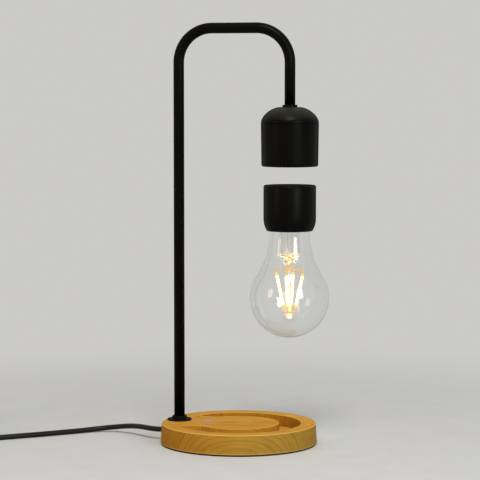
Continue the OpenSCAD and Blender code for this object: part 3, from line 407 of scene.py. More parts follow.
def windingFinish(name, dark, light, wire, centre):
    material = newMaterial(name)
    place = objectPlace(centre)
    wave = calc("SINE", calc("DIVIDE", plus(*aroundUpright(place)), wire / tau))
    roughness = spread(noise(place, 300), 0.3, 0.7, 0.28, 0.42)
    colour = blend(spread(wave, -1, 1), dark, light)
    return surface(material, principled(colour, roughness, bumped(wave, 0.6, 0.0002), {
        "Metallic": 0.85, "Coat Weight": 0.5, "Coat Roughness": 0.15}))


def boardFinish(name, mask, track, deep):
    material = newMaterial(name)
    place = objectPlace()
    cells = addNode(
        "ShaderNodeTexVoronoi", {"Vector": place, "Scale": 420.0}, feature="DISTANCE_TO_EDGE", distance="CHEBYCHEV")
    tracks = spread(cells.outputs["Distance"], 0.12, 0.05)
    colour = blend(spread(noise(place, 60, 2), 0.3, 0.7, 0, 0.4), blend(tracks, mask, track), deep)
    return surface(material, principled(colour, spread(tracks, 0, 1, 0.34, 0.26), bumped(tracks, 0.3, 0.00005), {}))


def glassFinish(
        name, clear, edge, shade, rim, flow, bump, film, centre=None, bead=None, column=None, pinch=None, glow=None,
        strength=0):
    material = newMaterial(name)
    place = objectPlace()
    waves = placeGroup(glassFlow, Place=place, Scale=flow)
    facing = addNode("ShaderNodeLayerWeight", {"Blend": rim}).outputs["Facing"]
    shader = principled(
        blend(facing, clear, edge), spread(waves["Film"], 0, 1, 0.0, film), bumped(waves["Height"], bump, 0.001),
        {"IOR": 1.47, "Transmission Weight": 1.0})
    if glow:  # light of the sticks, caught in the pressed glass, the column and the bead
        level = parts(place)[2]
        low, start, end, high = pinch
        pressed = times(spread(level, low, start), spread(level, high, end))
        strokes = spread(noise(moved(place, Location=centre, Scale=(1, 1, 0.12)), 420, 1, 0.4), 0.55, 0.64)
        inBead, inColumn = spread(level, *bead, 0.0, 0.8), spread(level, *column, 0.0, 0.4)
        caught = calc("ADD", plus(times(pressed, strokes), inBead), inColumn, clamp=True)
        plug(shader.inputs["Emission Color"], blend(caught, black, glow))
        plug(shader.inputs["Emission Strength"], strength)
    passing = addNode("ShaderNodeBsdfTransparent", {"Color": shade})
    shadow = addNode("ShaderNodeLightPath").outputs["Is Shadow Ray"]
    return surface(material, addNode("ShaderNodeMixShader", {0: shadow, 1: shader, 2: passing}))


def glowFinish(name, dark, light, glowDark, glow, patch, strength):
    material = newMaterial(name)
    grain = placeGroup(fineGrain, Place=objectPlace(), Grain=900.0, Patch=patch)
    patches = grain["Patches"]
    return surface(material, principled(
        blend(patches, dark, light), spread(patches, 0, 1, 0.35, 0.5), bumped(grain["Height"], 0.2, 0.0001),
        {"Emission Color": blend(patches, glowDark, glow), "Emission Strength": strength}))


bulbAxis = (-0.049, 0, 0)  # moves the bulb's axis to the origin
finishes = {
    "beech": beechFinish(beech),
    "pad_rubber": plainFinish(
        "padRubber", dark=(0.008, 0.008, 0.008), light=(0.016, 0.016, 0.016),
        grain=1400.0, smooth=0.7, rough=0.85, bump=0.5, specular=0.3),
    "cord_rubber": plainFinish(
        "cordSheath", dark=(0.003, 0.003, 0.0032), light=(0.006, 0.006, 0.006),
        grain=1100.0, smooth=0.34, rough=0.48, bump=0.2, specular=0.22, dust=0.02),
    "black_coat": plainFinish(
        "blackCoat", dark=(0.0008, 0.0007, 0.0006), light=(0.0015, 0.0013, 0.0011),
        grain=2200.0, smooth=0.34, rough=0.42, grazing=1.0, bump=0.12, specular=0.06),
    # painted highlight: the upper tone paints the key lamp's broad highlight on the dome's upward faces
    "black_shell": plainFinish(
        "blackShell", dark=(0.0009, 0.0008, 0.0006), light=(0.0018, 0.0015, 0.0012), upper=(0.0205, 0.0212, 0.0130),
        paintedHighlightFrom=0.3015, grain=1700.0, smooth=0.32, rough=0.42, grazing=1.0, bump=0.14, specular=0.06),
    "adapter_shell": plainFinish(
        "adapterShell", dark=(0.008, 0.008, 0.0085), light=(0.014, 0.014, 0.0145),
        grain=900.0, smooth=0.5, rough=0.65, bump=0.5, specular=0.4, dust=0.06),
    "zinc_steel": turnedFinish(
        "zincSteel", dark=(0.42, 0.43, 0.45), light=(0.60, 0.61, 0.63), spacing=0.00009, smooth=0.3, rough=0.42),
    "pin_nickel": plainFinish(
        "pinNickel", dark=(0.62, 0.60, 0.55), light=(0.74, 0.72, 0.67),
        grain=500.0, smooth=0.16, rough=0.3, bump=0.06, metal=1.0),
    "magnet_nickel": plainFinish(
        "magnetNickel", dark=(0.55, 0.55, 0.57), light=(0.66, 0.66, 0.68),
        grain=400.0, smooth=0.14, rough=0.26, bump=0.05, metal=1.0),
    "core_iron": turnedFinish(
        "coreIron", dark=(0.22, 0.22, 0.23), light=(0.36, 0.36, 0.37),
        spacing=0.00012, smooth=0.35, rough=0.5, centre=bulbAxis),
    "brass": turnedFinish(
        "turnedBrass", dark=(0.52, 0.34, 0.10), light=(0.74, 0.54, 0.22),
        spacing=0.0001, smooth=0.22, rough=0.36, centre=bulbAxis),
    "copper_wire": windingFinish(
        "copperWinding", dark=(0.30, 0.10, 0.03), light=(0.72, 0.33, 0.14), wire=0.0006, centre=bulbAxis),
    "ferrite": plainFinish(
        "darkFerrite", dark=(0.028, 0.028, 0.03), light=(0.06, 0.06, 0.064),
        grain=1300.0, smooth=0.55, rough=0.7, bump=0.3),
    "board_green": boardFinish(
        "circuitBoard", mask=(0.012, 0.10, 0.045), track=(0.03, 0.20, 0.09), deep=(0.006, 0.05, 0.024)),
    "component_black": plainFinish(
        "componentBlack", dark=(0.012, 0.012, 0.013), light=(0.026, 0.026, 0.028),
        grain=1600.0, smooth=0.45, rough=0.6, bump=0.25),
    "nylon_white": plainFinish(
        "naturalNylon", dark=(0.60, 0.58, 0.51), light=(0.70, 0.68, 0.61),
        grain=800.0, smooth=0.42, rough=0.55, bump=0.12),
    "wire_red": plainFinish(
        "wireInsulation", dark=(0.17, 0.014, 0.012), light=(0.28, 0.026, 0.022),
        grain=900.0, smooth=0.35, rough=0.5, bump=0.1),
    "cement": plainFinish(
        "lampCement", dark=(0.42, 0.36, 0.30), light=(0.58, 0.52, 0.45),
        grain=1100.0, smooth=0.8, rough=0.95, bump=0.7),
    # painted light: the sticks' light on the crown's wires is painted as the orange tone and glow; plain is the wires'
    # tone above the crown
    "support_wire": turnedFinish(
        "supportWire", dark=(0.80, 0.42, 0.07), light=(0.93, 0.56, 0.13), plain=(0.72, 0.62, 0.44),
        glow=(0.85, 0.38, 0.04), above=0.171, strength=0.45, spacing=0.00011, smooth=0.2, rough=0.32, centre=bulbAxis),
    "bulb_glass": glassFinish(
        "clearBulbGlass", clear=(0.985, 0.99, 0.985), edge=(0.80, 0.83, 0.81), shade=(0.93, 0.94, 0.93),
        rim=0.25, flow=26.0, bump=0.03, film=0.03),
    "stem_glass": glassFinish(
        "clearStemGlass", clear=(0.98, 0.985, 0.98), edge=(0.82, 0.85, 0.84), shade=(0.90, 0.91, 0.90),
        rim=0.3, flow=60.0, bump=0.05, film=0.04, centre=bulbAxis, bead=(0.1240, 0.1222), column=(0.152, 0.143),
        pinch=(0.1675, 0.1700, 0.1780, 0.1815), glow=(1.0, 0.72, 0.24), strength=0.95),
    "filament_glow": glowFinish(
        "litFilament", dark=(0.75, 0.55, 0.16), light=(0.85, 0.68, 0.26), glowDark=(1.0, 0.60, 0.19),
        glow=(1.0, 0.68, 0.26), patch=260.0, strength=3.8),
    "filament_cap": glowFinish(
        "filamentEnd", dark=(0.62, 0.34, 0.02), light=(0.75, 0.45, 0.03), glowDark=(1.0, 0.42, 0.02),
        glow=(1.0, 0.52, 0.03), patch=300.0, strength=0.9),
    "indicator": glowFinish(
        "indicatorLight", dark=(0.05, 0.04, 0.22), light=(0.08, 0.07, 0.30), glowDark=(0.13, 0.09, 1.0),
        glow=(0.20, 0.16, 1.0), patch=500.0, strength=0.85),
}
for part in frame["record"]["subparts"]:
    meshObject = frame["nodes"][part["node"]]
    if not meshObject.material_slots:
        meshObject.data.materials.append(None)
    for slot in meshObject.material_slots:
        slot.material = finishes[part["material_slot"]]
print("finishes ready")


# Making pieces: shapes are drawn in millimetres and scaled when they become meshes
onAxis = 0.0005  # points closer than this are one point


def markEdges(shape, sharp):
    for face in shape.faces:
        face.smooth = True
    for edge in shape.edges:
        edge.smooth = len(edge.link_faces) != 2 or edge.calc_face_angle(0) < radians(sharp)


def startPiece(name, data, slotName, sharp=30.0):
    if isinstance(data, bmesh.types.BMesh):
        shape, data = data, bpy.data.meshes.new(name)
        bmesh.ops.remove_doubles(shape, verts=shape.verts, dist=onAxis)
        bmesh.ops.recalc_face_normals(shape, faces=shape.faces)
        markEdges(shape, sharp)
        shape.transform(Matrix.Scale(mm, 4))
        shape.to_mesh(data)
        shape.free()
    if not len(data.materials):
        data.materials.append(finishes[slotName])
    made = bpy.data.objects.new(name, data)
    scene.collection.objects.link(made)
    return made


def settle(made, slotName, *nodes, body="stand"):
    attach(made, body)
    if nodes:
        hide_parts(*nodes)
    print("made", made.name)
    return made


def addPiece(name, shape, slotName, *nodes, body="stand", sharp=30.0):
    return settle(startPiece(name, shape, slotName, sharp), slotName, *nodes, body=body)


def applyModifiers(made):
    bpy.context.view_layer.update()
    whole = made.evaluated_get(bpy.context.evaluated_depsgraph_get())
    mesh = bpy.data.meshes.new_from_object(whole)
    made.modifiers.clear()
    made.data = mesh
    return made


def take(sizes, names):
    return [sizes[name] for name in names.split()]


def arc(x, y, radius, first, last, steps):
    turns = [radians(first + (last - first) * k / steps) for k in range(steps + 1)]
    return [(x + radius * cos(a), y + radius * sin(a)) for a in turns]


def circle(radius, sides, x=0, y=0):
    return arc(x, y, radius, 0, 360, sides)[:-1]


def addLoop(shape, outline, height):
    return [shape.verts.new((x, y, height)) for x, y in outline]


# Faces between each loop of corners and the next; a loop can also be one point
def bridge(shape, loops):
    for low, high in zip(loops, loops[1:]):
        for k in range(max(len(low), len(high))):
            (a, b), (c, d) = ((loop[k % len(loop)], loop[(k + 1) % len(loop)]) for loop in (low, high))
            corners = list(dict.fromkeys((a, b, d, c)))
            if len(corners) > 2:
                shape.faces.new(corners)


def closeEnds(shape, loops):
    shape.faces.new(loops[0][::-1])
    shape.faces.new(loops[-1])


def fillBetween(shape, *loops):
    pairs = [(loop[k], loop[(k + 1) % len(loop)]) for loop in loops for k in range(len(loop))]
    edges = [shape.edges.get(pair) or shape.edges.new(pair) for pair in pairs]
    bmesh.ops.triangle_fill(shape, edges=edges, use_beauty=True)


def lathed(profile, axis=(0, 0), sides=64):
    shape = bmesh.new()
    rows = [(circle(radius, sides if radius > onAxis else 1, *axis), z) for radius, z in profile]
    bridge(shape, [addLoop(shape, outline, z) for outline, z in rows])
    return shape


def lifted(profile, height):
    return [(radius, level + height) for radius, level in profile]


def turnedPiece(name, profile, slotName, node, axis=(0, 0), sides=144, body="stand"):
    closed = profile + profile[:1] if profile[0][0] > onAxis else profile
    return addPiece(name, lathed(closed, axis, sides), slotName, node, body=body)


def roundedRod(shape, start, end, radius, tip, sides):
    start, end = Vector(start), Vector(end)
    along = (end - start).normalized()
    side = along.orthogonal().normalized()
    up = along.cross(side)
    steps = ((0, 0.35), (0.12, 0.72), (0.4, 0.93), (1, 1))
    rows = [(start + along * tip * a, radius * b) for a, b in steps]
    rows += [(end - along * tip * a, radius * b) for a, b in reversed(steps)]
    rings = [[shape.verts.new(spot + side * x + up * y) for x, y in circle(wide, sides)] for spot, wide in rows]
    bridge(shape, rings)
    closeEnds(shape, rings)


def newTree(name, **inputs):
    tree = openTree(bpy.data.node_groups.new(name, "GeometryNodeTree"))
    for socket, kind in {"Shape": "Geometry", **inputs, "Finish": "Material"}.items():
        tree.interface.new_socket(socket, in_out="INPUT", socket_type="NodeSocket" + kind)
    tree.interface.new_socket("Shapes", in_out="OUTPUT", socket_type="NodeSocketGeometry")
    return addNode("NodeGroupInput").outputs


def endTree(given, geometry):
    real = addNode("GeometryNodeRealizeInstances", {"Geometry": geometry})
    coloured = addNode("GeometryNodeSetMaterial", {"Geometry": real, "Material": given["Finish"]})
    addNode("NodeGroupOutput", {0: coloured})
    return opened["tree"]


def copies(given, start, step, turn, size=(1, 1, 1)):
    line = addNode("GeometryNodeMeshLine", {"Count": given["Count"], "Start Location": start, "Offset": step})
    return addNode("GeometryNodeInstanceOnPoints", {
        "Points": line, "Instance": given["Shape"], "Rotation": turn, "Scale": size})


# Repeats the shape it is given round an upright axis
def buildAround():
    given = newTree("aroundAxis", Count="Int", Turn="Float", Centre="Vector")
    step = calc("DIVIDE", tau, given["Count"])
    angle = plus(times(addNode("GeometryNodeInputIndex"), step), given["Turn"])
    turn = addNode("ShaderNodeCombineXYZ", {"Z": angle})
    return endTree(given, copies(given, given["Centre"], (0, 0, 0), turn))


# Bends a line of straight runs and gives it a round section
def buildBentTube():
    given = newTree("bentTube", Bend="Float", Steps="Int", Radius="Float", Sides="Int")
    line = addNode("GeometryNodeMeshToCurve", {"Mesh": given["Shape"]})
    bends = addNode("GeometryNodeFilletCurve", {
        "Curve": line, "Radius": given["Bend"], "Count": given["Steps"]}, mode="POLY")
    section = addNode("GeometryNodeCurvePrimitiveCircle", {"Radius": given["Radius"], "Resolution": given["Sides"]})
    tube = addNode("GeometryNodeCurveToMesh", {"Curve": bends, "Profile Curve": section})
    return endTree(given, addNode("GeometryNodeSetShadeSmooth", {"Geometry": tube}))


# Sets rings at even steps along a line, each a little wider than the last
def buildRibs():
    given = newTree("ribRow", Count="Int", Start="Vector", Step="Vector", Turn="Vector", Growth="Float")
    size = plus(times(addNode("GeometryNodeInputIndex"), given["Growth"]), 1.0)
    wider = addNode("ShaderNodeCombineXYZ", {"X": size, "Y": size, "Z": 1.0})
    return endTree(given, copies(given, given["Start"], given["Step"], given["Turn"], wider))


def throughTree(made, tree, **values):
    modifier = made.modifiers.new(tree.name, "NODES")
    modifier.node_group = tree
    values["Finish"] = made.data.materials[0]
    for item in tree.interface.items_tree:
        if item.in_out == "INPUT" and item.name in values:
            modifier[item.identifier] = values[item.name]
    return applyModifiers(made)


aroundAxis, bentTube, ribRow = buildAround(), buildBentTube(), buildRibs()

# Cord: out of the back of the base, round in one loose bend, then along the table to the stored coil
cord = {
    "thick": 5.0, "table": 2.6, "exit": (-75.0, 0.0, 9.5), "beforeCoil": 16,
    "route": (
        (-79, 0.1, 9.5), (-84, 1.2, 9.5), (-90, 4, 9.45), (-98, 9.7, 9.2), (-107, 16, 8.5), (-115.4, 21.3, 7.4),
        (-123.5, 24.7, 6.2), (-131, 26.2, 5.1), (-138.2, 26, 4.2), (-144.6, 24.1, 3.5), (-150.8, 20.7, 3),
        (-156.3, 16.2, 2.7), (-162, 10.6, 2.6), (-170, 2.4, 2.6), (-181, -8.2, 2.6), (-192.4, -18.9, 2.6),
        (-207.4, -32.3, 2.6), (-221, -44.2, 2.6)),
    "coilX": -270.0, "coilY": -38.0, "coilStart": -47.0, "turns": 7.37, "turnSteps": 24, "innerRadius": 17.5,
    "pitch": 5.45, "bootGap": 30.0, "bootHeight": 13.5, "tailSteps": 4,
}


def easing(t):
    t = min(max(t, 0.0), 1.0)
    return t * t * (3 - 2 * t)


def coilTurn(t):
    return radians(cord["coilStart"] - 360 * t)


def coilPoint(t):
    half = cord["turns"] / 2
    radius = cord["innerRadius"] + cord["pitch"] * abs(t - half)
    return Vector((
        cord["coilX"] + radius * cos(coilTurn(t)), cord["coilY"] + radius * sin(coilTurn(t)),
        cord["table"] + cord["pitch"] * easing((t - half) * 2 + 0.5)))


def coilWay(t):
    return Vector((sin(coilTurn(t)), -cos(coilTurn(t)), 0))


def cordLine():
    thick, turns, gap, steps = take(cord, "thick turns bootGap tailSteps")
    inward, outward = coilWay(0), coilWay(turns)
    mouth, end = coilPoint(0) - inward * thick, coilPoint(turns)
    free = [Vector(p) for p in (cord["exit"], *cord["route"])] + [mouth - inward * cord["beforeCoil"], mouth]
    coil = [coilPoint(k / cord["turnSteps"]) for k in range(int(turns * cord["turnSteps"]) + 1)]
    rise = cord["bootHeight"] - end.z
    reach = [thick + k * (gap - 2 * thick) / steps for k in range(steps + 1)]
    tail = [end + outward * far + Vector((0, 0, rise * easing(k / steps))) for k, far in enumerate(reach)]
    bootTip = end + outward * gap + Vector((0, 0, rise))
    return free + coil + [end] + tail + [bootTip], bootTip, outward


cordPoints, bootTip, tailWay = cordLine()
cordCurve = bpy.data.curves.new("powerCord", "CURVE")
cordCurve.dimensions = "3D"
cordCurve.bevel_depth = cord["thick"] / 2 * mm
cordCurve.bevel_resolution = 5
cordCurve.resolution_u = 3
cordCurve.use_fill_caps = True
spline = cordCurve.splines.new("BEZIER")
spline.bezier_points.add(len(cordPoints) - 1)
for knot, point in zip(spline.bezier_points, cordPoints):
    knot.co = point * mm
    knot.handle_left_type = knot.handle_right_type = "AUTO"
cordPiece = addPiece("powerCord", cordCurve, "cord_rubber", "cord", "cord_coil")

# Bend relief, wall adapter and its flat pins
adapter = {
    "bootLength": 22.0, "bootSmall": 3.1, "bootWide": 4.4, "ribs": 6, "firstRib": 1.6, "ribRun": 14.6,
    "length": 58.0, "width": 38.0, "height": 27.0, "corner": 5.0, "edge": 1.6, "seam": 0.35, "seamLift": 2,
    "pinLength": 15.0, "pinWidth": 6.3, "pinThick": 1.5, "pinGap": 12.7, "pinHole": 1.6, "holeBack": 3.6,
    "pinRoot": 0.4, "tipBack": 1.6, "tipIn": 1.4,
}


def makeBoot():
    length, small, wide, gaps = *take(adapter, "bootLength bootSmall bootWide"), adapter["ribs"] - 1
    alongTail = Matrix.Translation(bootTip) @ tailWay.to_track_quat("Z", "Y").to_matrix().to_4x4()
    core = lathed([
        (0, 0), (small - 0.9, 0), (small - 0.5, 0.35), (wide - 1.0, length - 4.2), (wide - 0.15, length - 3.6),
        (wide, length - 3.2), (wide, length), (0, length)], sides=48)
    core.transform(alongTail)
    boot = addPiece("bendRelief", core, "cord_rubber", "adapter_boot")
    inner, shoulder = small - 1.2, small - 0.25
    ring = [(inner, -0.8), (shoulder, -0.8), (small, -0.55), (small, 0.55), (shoulder, 0.8), (inner, 0.8)]
    ribs = startPiece("bendReliefRibs", lathed(ring + ring[:1], sides=48), "cord_rubber")
    throughTree(
        ribs, ribRow, Count=adapter["ribs"], Start=(bootTip + tailWay * adapter["firstRib"]) * mm,
        Step=tailWay * adapter["ribRun"] / gaps * mm, Turn=Vector(alongTail.to_euler()),
        Growth=(wide / small - 1) * 0.8 / gaps)
    return [boot, settle(ribs, "cord_rubber")]


def makeAdapter():
    length, width, height, corner, edge, seam = take(adapter, "length width height corner edge seam")
    middle = height / 2
    near = bootTip + tailWay * adapter["bootLength"]
    inPlace = Matrix.Translation((near.x, near.y, 0)) @ Matrix.Rotation(atan2(tailWay.y, tailWay.x), 4, "Z")
    low, high = (middle + adapter["seamLift"] + side * seam for side in (-1, 1))
    levels = [(edge - out, z) for out, z in arc(0, edge, edge, -90, 0, 5)]
    levels += [(0, low), (seam, low), (seam, high), (0, high)]
    levels += [(edge - out, z) for out, z in arc(0, height - edge, edge, 0, 90, 5)]
    aside, far = width / 2 - corner, length - corner
    corners = ((far, aside, 0), (corner, aside, 90), (corner, -aside, 180), (far, -aside, 270))
    shape, rings = bmesh.new(), []
    for inset, level in levels:
        outline = [spot for x, y, first in corners for spot in arc(x, y, corner - inset, first, first + 90, 7)]
        rings.append(addLoop(shape, outline, level))
    bridge(shape, rings)
    closeEnds(shape, rings)
    shape.transform(inPlace)
    body = addPiece("wallAdapter", shape, "adapter_shell", "adapter_body")
    half, tip, root = adapter["pinWidth"] / 2, adapter["pinLength"], -adapter["pinRoot"]
    back, slim = tip - adapter["tipBack"], half - adapter["tipIn"]
    outline = [(root, -half), (back, -half), (tip, -slim), (tip, slim), (back, half), (root, half)]
    eye = circle(adapter["pinHole"], 20, tip - adapter["holeBack"])
    blades = bmesh.new()
    for side in (-1, 1):
        faces = []
        for offset in (-0.5, 0.5):
            y = side * adapter["pinGap"] / 2 + offset * adapter["pinThick"]
            loops = [[blades.verts.new((length + a, y, middle + b)) for a, b in loop] for loop in (outline, eye)]
            fillBetween(blades, *loops)
            faces.append(loops)
        for pair in zip(*faces):
            bridge(blades, pair)
    blades.transform(inPlace)
    return [body, addPiece("adapterPins", blades, "pin_nickel", "adapter_pins")]


cordEnd = makeBoot() + makeAdapter()

# Wooden base with its carved channel, and the pad below it
base = {
    "radius": 72.5, "flare": 0.9, "low": 1.5, "top": 19.5, "edge": 1.0, "lowEdge": 0.5, "sides": 180, "sharp": 25.0,
    "channelRadius": 58.3, "islandRadius": 38.0, "neckHalf": 27.3, "waist": 34.6, "endRadius": 5.0, "depth": 11.0,
    "lip": 0.7, "corner": 0.8, "plateRadius": 70.1, "plateTop": 3.0, "pocketRadius": 33.0, "pocketTop": 17.0,
    "neckPocket": 18.0, "neckTop": 16.0, "pocketReach": 69.0, "pocketLow": 2.5, "cutLow": 1.0,
    "postX": -58.3, "studHole": 4.05, "touchX": -30.3, "guideHole": 1.8, "cordHole": 3.85, "cordHoleStart": 66.0,
    "cordHoleEnd": 80.0, "grommetSeat": 5.05, "grommetEnd": 78.0, "screwHole": 1.55, "screwRing": 65.4,
    "screwTop": 12.0, "padRadius": 72.65, "padEdge": 0.5, "padStep": 1.3,
}
throughBack = Matrix.Translation((0, 0, cord["exit"][2])) @ Matrix.Rotation(-pi / 2, 4, "Y")


def channelLoop(out):
    wide, waist, island, outer, end = take(base, "neckHalf waist islandRadius channelRadius endRadius")
    sideRadius = (waist ** 2 + wide ** 2 - island ** 2) / (2 * (island - wide))
    side = Vector((-waist, -wide - sideRadius))
    near, far, gap = outer - end, sideRadius - end, side.length
    along = (near ** 2 - far ** 2 + gap ** 2) / (2 * gap)
    way = side / gap
    tip = way * along + Vector((way.y, -way.x)) * sqrt(near ** 2 - along ** 2)
    islandTurn = degrees(atan2(side.y, side.x))
    sideTurn = degrees(atan2(tip.y - side.y, tip.x - side.x))
    wallTurn = degrees(atan2(tip.y, tip.x)) + 360
    half = arc(0, 0, island - out, 0, islandTurn, 72)
    half += arc(side.x, side.y, sideRadius + out, islandTurn + 180, sideTurn, 24)[1:]
    half += arc(tip.x, tip.y, end + out, sideTurn, wallTurn, 16)[1:]
    half += arc(0, 0, outer + out, wallTurn, 360, 80)[1:]
    return half + [(x, -y) for x, y in reversed(half[1:-1])]


def cylinder(x, y, radius, low, high, sides=64):
    return lathed([(0, low), (radius, low), (radius, high), (0, high)], (x, y), sides)


def cutAway(made, cutters):
    helpers = [startPiece("cutter", shape, "beech") for shape in cutters]
    for helper in helpers:
        helper.hide_render = True
        cut = made.modifiers.new("cut", "BOOLEAN")
        cut.operation, cut.solver, cut.object = "DIFFERENCE", "EXACT", helper
    applyModifiers(made)
    for helper in helpers:
        bpy.data.objects.remove(helper)


def baseBlank():
    shape = bmesh.new()
    radius, low, top, edge, foot = take(base, "radius low top edge lowEdge")
    lip, corner, sides, channelFloor = *take(base, "lip corner sides"), top - base["depth"]
    outside = arc(radius + base["flare"] - foot, low + foot, foot, -90, 0, 4)
    outside += arc(radius - edge, top - edge, edge, 0, 90, 6)
    inside = [(lip - a, z) for a, z in arc(0, top - lip, lip, 90, 0, 5)]
    inside += [(a - corner, z) for a, z in arc(0, channelFloor + corner, corner, 0, -90, 5)]
    wall = [addLoop(shape, circle(r, sides), z) for r, z in outside]
    channel = [addLoop(shape, channelLoop(out), z) for out, z in inside]
    bridge(shape, wall)
    bridge(shape, channel)
    shape.faces.new(wall[0][::-1])
    fillBetween(shape, wall[-1], channel[0])
    fillBetween(shape, channel[-1])
    return shape


def neckPocket():
    shape = bmesh.new()
    reach, half = take(base, "pocketReach neckPocket")
    turn = degrees(asin(half / reach))
    plan = [(0, -half)] + [(-x, y) for x, y in arc(0, 0, reach, -turn, turn, 12)] + [(0, half)]
    levels = [addLoop(shape, plan, z) for z in take(base, "pocketLow neckTop")]
    bridge(shape, levels)
    closeEnds(shape, levels)
    return shape


def makeBase():
    made = startPiece("woodenBase", baseBlank(), "beech", base["sharp"])
    start, above = base["cutLow"], base["top"] + 1
    backHoles = [
        cylinder(0, 0, base["cordHole"], base["cordHoleStart"], base["cordHoleEnd"]),
        cylinder(0, 0, base["grommetSeat"], base["radius"], base["grommetEnd"])]
    for hole in backHoles:
        hole.transform(throughBack)
    screwSpots = arc(0, 0, base["screwRing"], 45, 315, 3)
    screws = [cylinder(x, y, base["screwHole"], start, base["screwTop"], 32) for x, y in screwSpots]
    cutAway(made, [
        cylinder(0, 0, base["plateRadius"], start, base["plateTop"], 128),
        cylinder(0, 0, base["pocketRadius"], base["pocketLow"], base["pocketTop"], 96),
        neckPocket(),
        cylinder(base["postX"], 0, base["studHole"], start, above),
        cylinder(base["touchX"], 0, base["guideHole"], start, above, 48),
        *backHoles, *screws])
    shape = bmesh.new()
    shape.from_mesh(made.data)
    markEdges(shape, base["sharp"])
    for face in shape.faces:
        face.smooth = abs(face.normal.z) < 0.9999
    shape.to_mesh(made.data)
    shape.free()
    settle(made, "beech", "wood_base")


makeBase()
padRadius, padEdge, padTop, padStep = take(base, "padRadius padEdge low padStep")
turnedPiece(
    "antiSlipPad", [(0, 0), (padRadius - padEdge, 0)] + arc(padRadius - padEdge, padEdge, padEdge, -90, 0, 3)[1:]
    + [(padRadius, padStep), (padRadius - 0.2, padTop), (0, padTop)], "pad_rubber", "anti_slip_pad", sides=160)
guideProfile = [(0, 17.6), (1.75, 17.6), (1.75, 19.52), (1.6, 19.72), (1.2, 19.88), (0.7, 19.96), (0, 19.99)]
turnedPiece("lightGuide", guideProfile, "indicator", "light_guide", (base["touchX"], 0), 48)
grommetProfile = [
    (2.55, 67.8), (4.0, 67.8), (4.0, 68.8), (3.8, 68.8), (3.8, 72.5), (5.0, 72.5), (5.0, 73.1), (4.9, 73.5),
    (4.35, 74.8), (4.0, 75.0), (2.7, 75.0), (2.55, 74.8), (2.55, 67.8)]
grommet = lathed(grommetProfile)
grommet.transform(throughBack)
addPiece("cordGrommet", grommet, "cord_rubber", "cord_grommet")

# Arched tube with its flange on the base and its collar on the head
arm = {
    "postX": -58.3, "bulbX": 49.0, "barHeight": 389.0, "foot": 21.0, "end": 308.8, "bend": 32.0, "radius": 5.0,
    "wall": 1.0, "sides": 48, "bendSteps": 20, "bore": 5.05, "boreEdge": 0.15,
    "studBore": 4.05, "flangeRadius": 11.5, "flangeThick": 1.5, "flangeEdge": 0.7, "flangeFoot": 0.2,
    "hubRadius": 7.0, "hubHeight": 3.0, "hubEdge": 1.1, "hubFoot": 0.5,
    "collarRadius": 7.0, "collarLow": 315.8, "collarHeight": 2.2, "collarEdge": 0.6,
}
bulbSpot = (arm["bulbX"], 0)


def makeTube():
    lineMesh = bpy.data.meshes.new("armTube")
    post, bulbX, bar = take(arm, "postX bulbX barHeight")
    corners = ((post, arm["foot"]), (post, bar), (bulbX, bar), (bulbX, arm["end"]))
    lineMesh.from_pydata([(x * mm, 0, z * mm) for x, z in corners], [(0, 1), (1, 2), (2, 3)], [])
    tube = startPiece("armTube", lineMesh, "black_coat")
    bend, radius, wallThick = [size * mm for size in take(arm, "bend radius wall")]
    throughTree(tube, bentTube, Bend=bend, Steps=arm["bendSteps"], Radius=radius, Sides=arm["sides"])
    wall = tube.modifiers.new("wall", "SOLIDIFY")
    wall.thickness = wallThick
    wall.offset = -1.0
    settle(applyModifiers(tube), "black_coat", "arm_tube")


def makeFlange():
    bore, boreEdge, stud, radius, thick = take(arm, "bore boreEdge studBore flangeRadius flangeThick")
    edge, foot, hub, hubEdge, hubFoot = take(arm, "flangeEdge flangeFoot hubRadius hubEdge hubFoot")
    top = thick + arm["hubHeight"]
    profile = [(stud, 0), (radius - foot, 0), (radius, foot)] + arc(radius - edge, thick - edge, edge, 0, 90, 6)
    profile += arc(hub + hubFoot, thick + hubFoot, hubFoot, 270, 180, 4)
    profile += arc(hub - hubEdge, top - hubEdge, hubEdge, 0, 90, 7)
    profile += [(bore + boreEdge, top), (bore, top - boreEdge), (bore, thick), (stud, thick)]
    turnedPiece("baseFlange", lifted(profile, base["top"]), "black_coat", "base_flange", (arm["postX"], 0), 96)


def makeCollar():
    bore, boreEdge, radius, high, edge = take(arm, "bore boreEdge collarRadius collarHeight collarEdge")
    profile = [(bore, 0), (radius, 0)] + arc(radius - edge, high - edge, edge, 0, 90, 5)
    profile += [(bore + boreEdge, high), (bore, high - boreEdge)]
    turnedPiece("headCollar", lifted(profile, arm["collarLow"]), "black_coat", "head_collar", bulbSpot, 96)


makeTube()
makeFlange()
makeCollar()

# Magnetic head: dome over a shell, with a fine seam between them
head = {
    "low": 261.0, "lowRadius": 26.35, "radius": 26.85, "shellHeight": 40.2, "wall": 2.0, "lowEdge": 1.8,
    "seam": 0.4, "domeHeight": 14.6, "flatRadius": 10.0, "bend": 1.65, "skirt": 3.0, "skirtGap": 0.1,
    "skirtWall": 1.4,
}


def domeSide(radius, height, flat, steps):
    turns = [pi / 2 * k / steps for k in range(steps + 1)]
    power = 2 / head["bend"]
    return [(flat + (radius - flat) * max(cos(a), 0) ** power, height * sin(a) ** power) for a in turns]


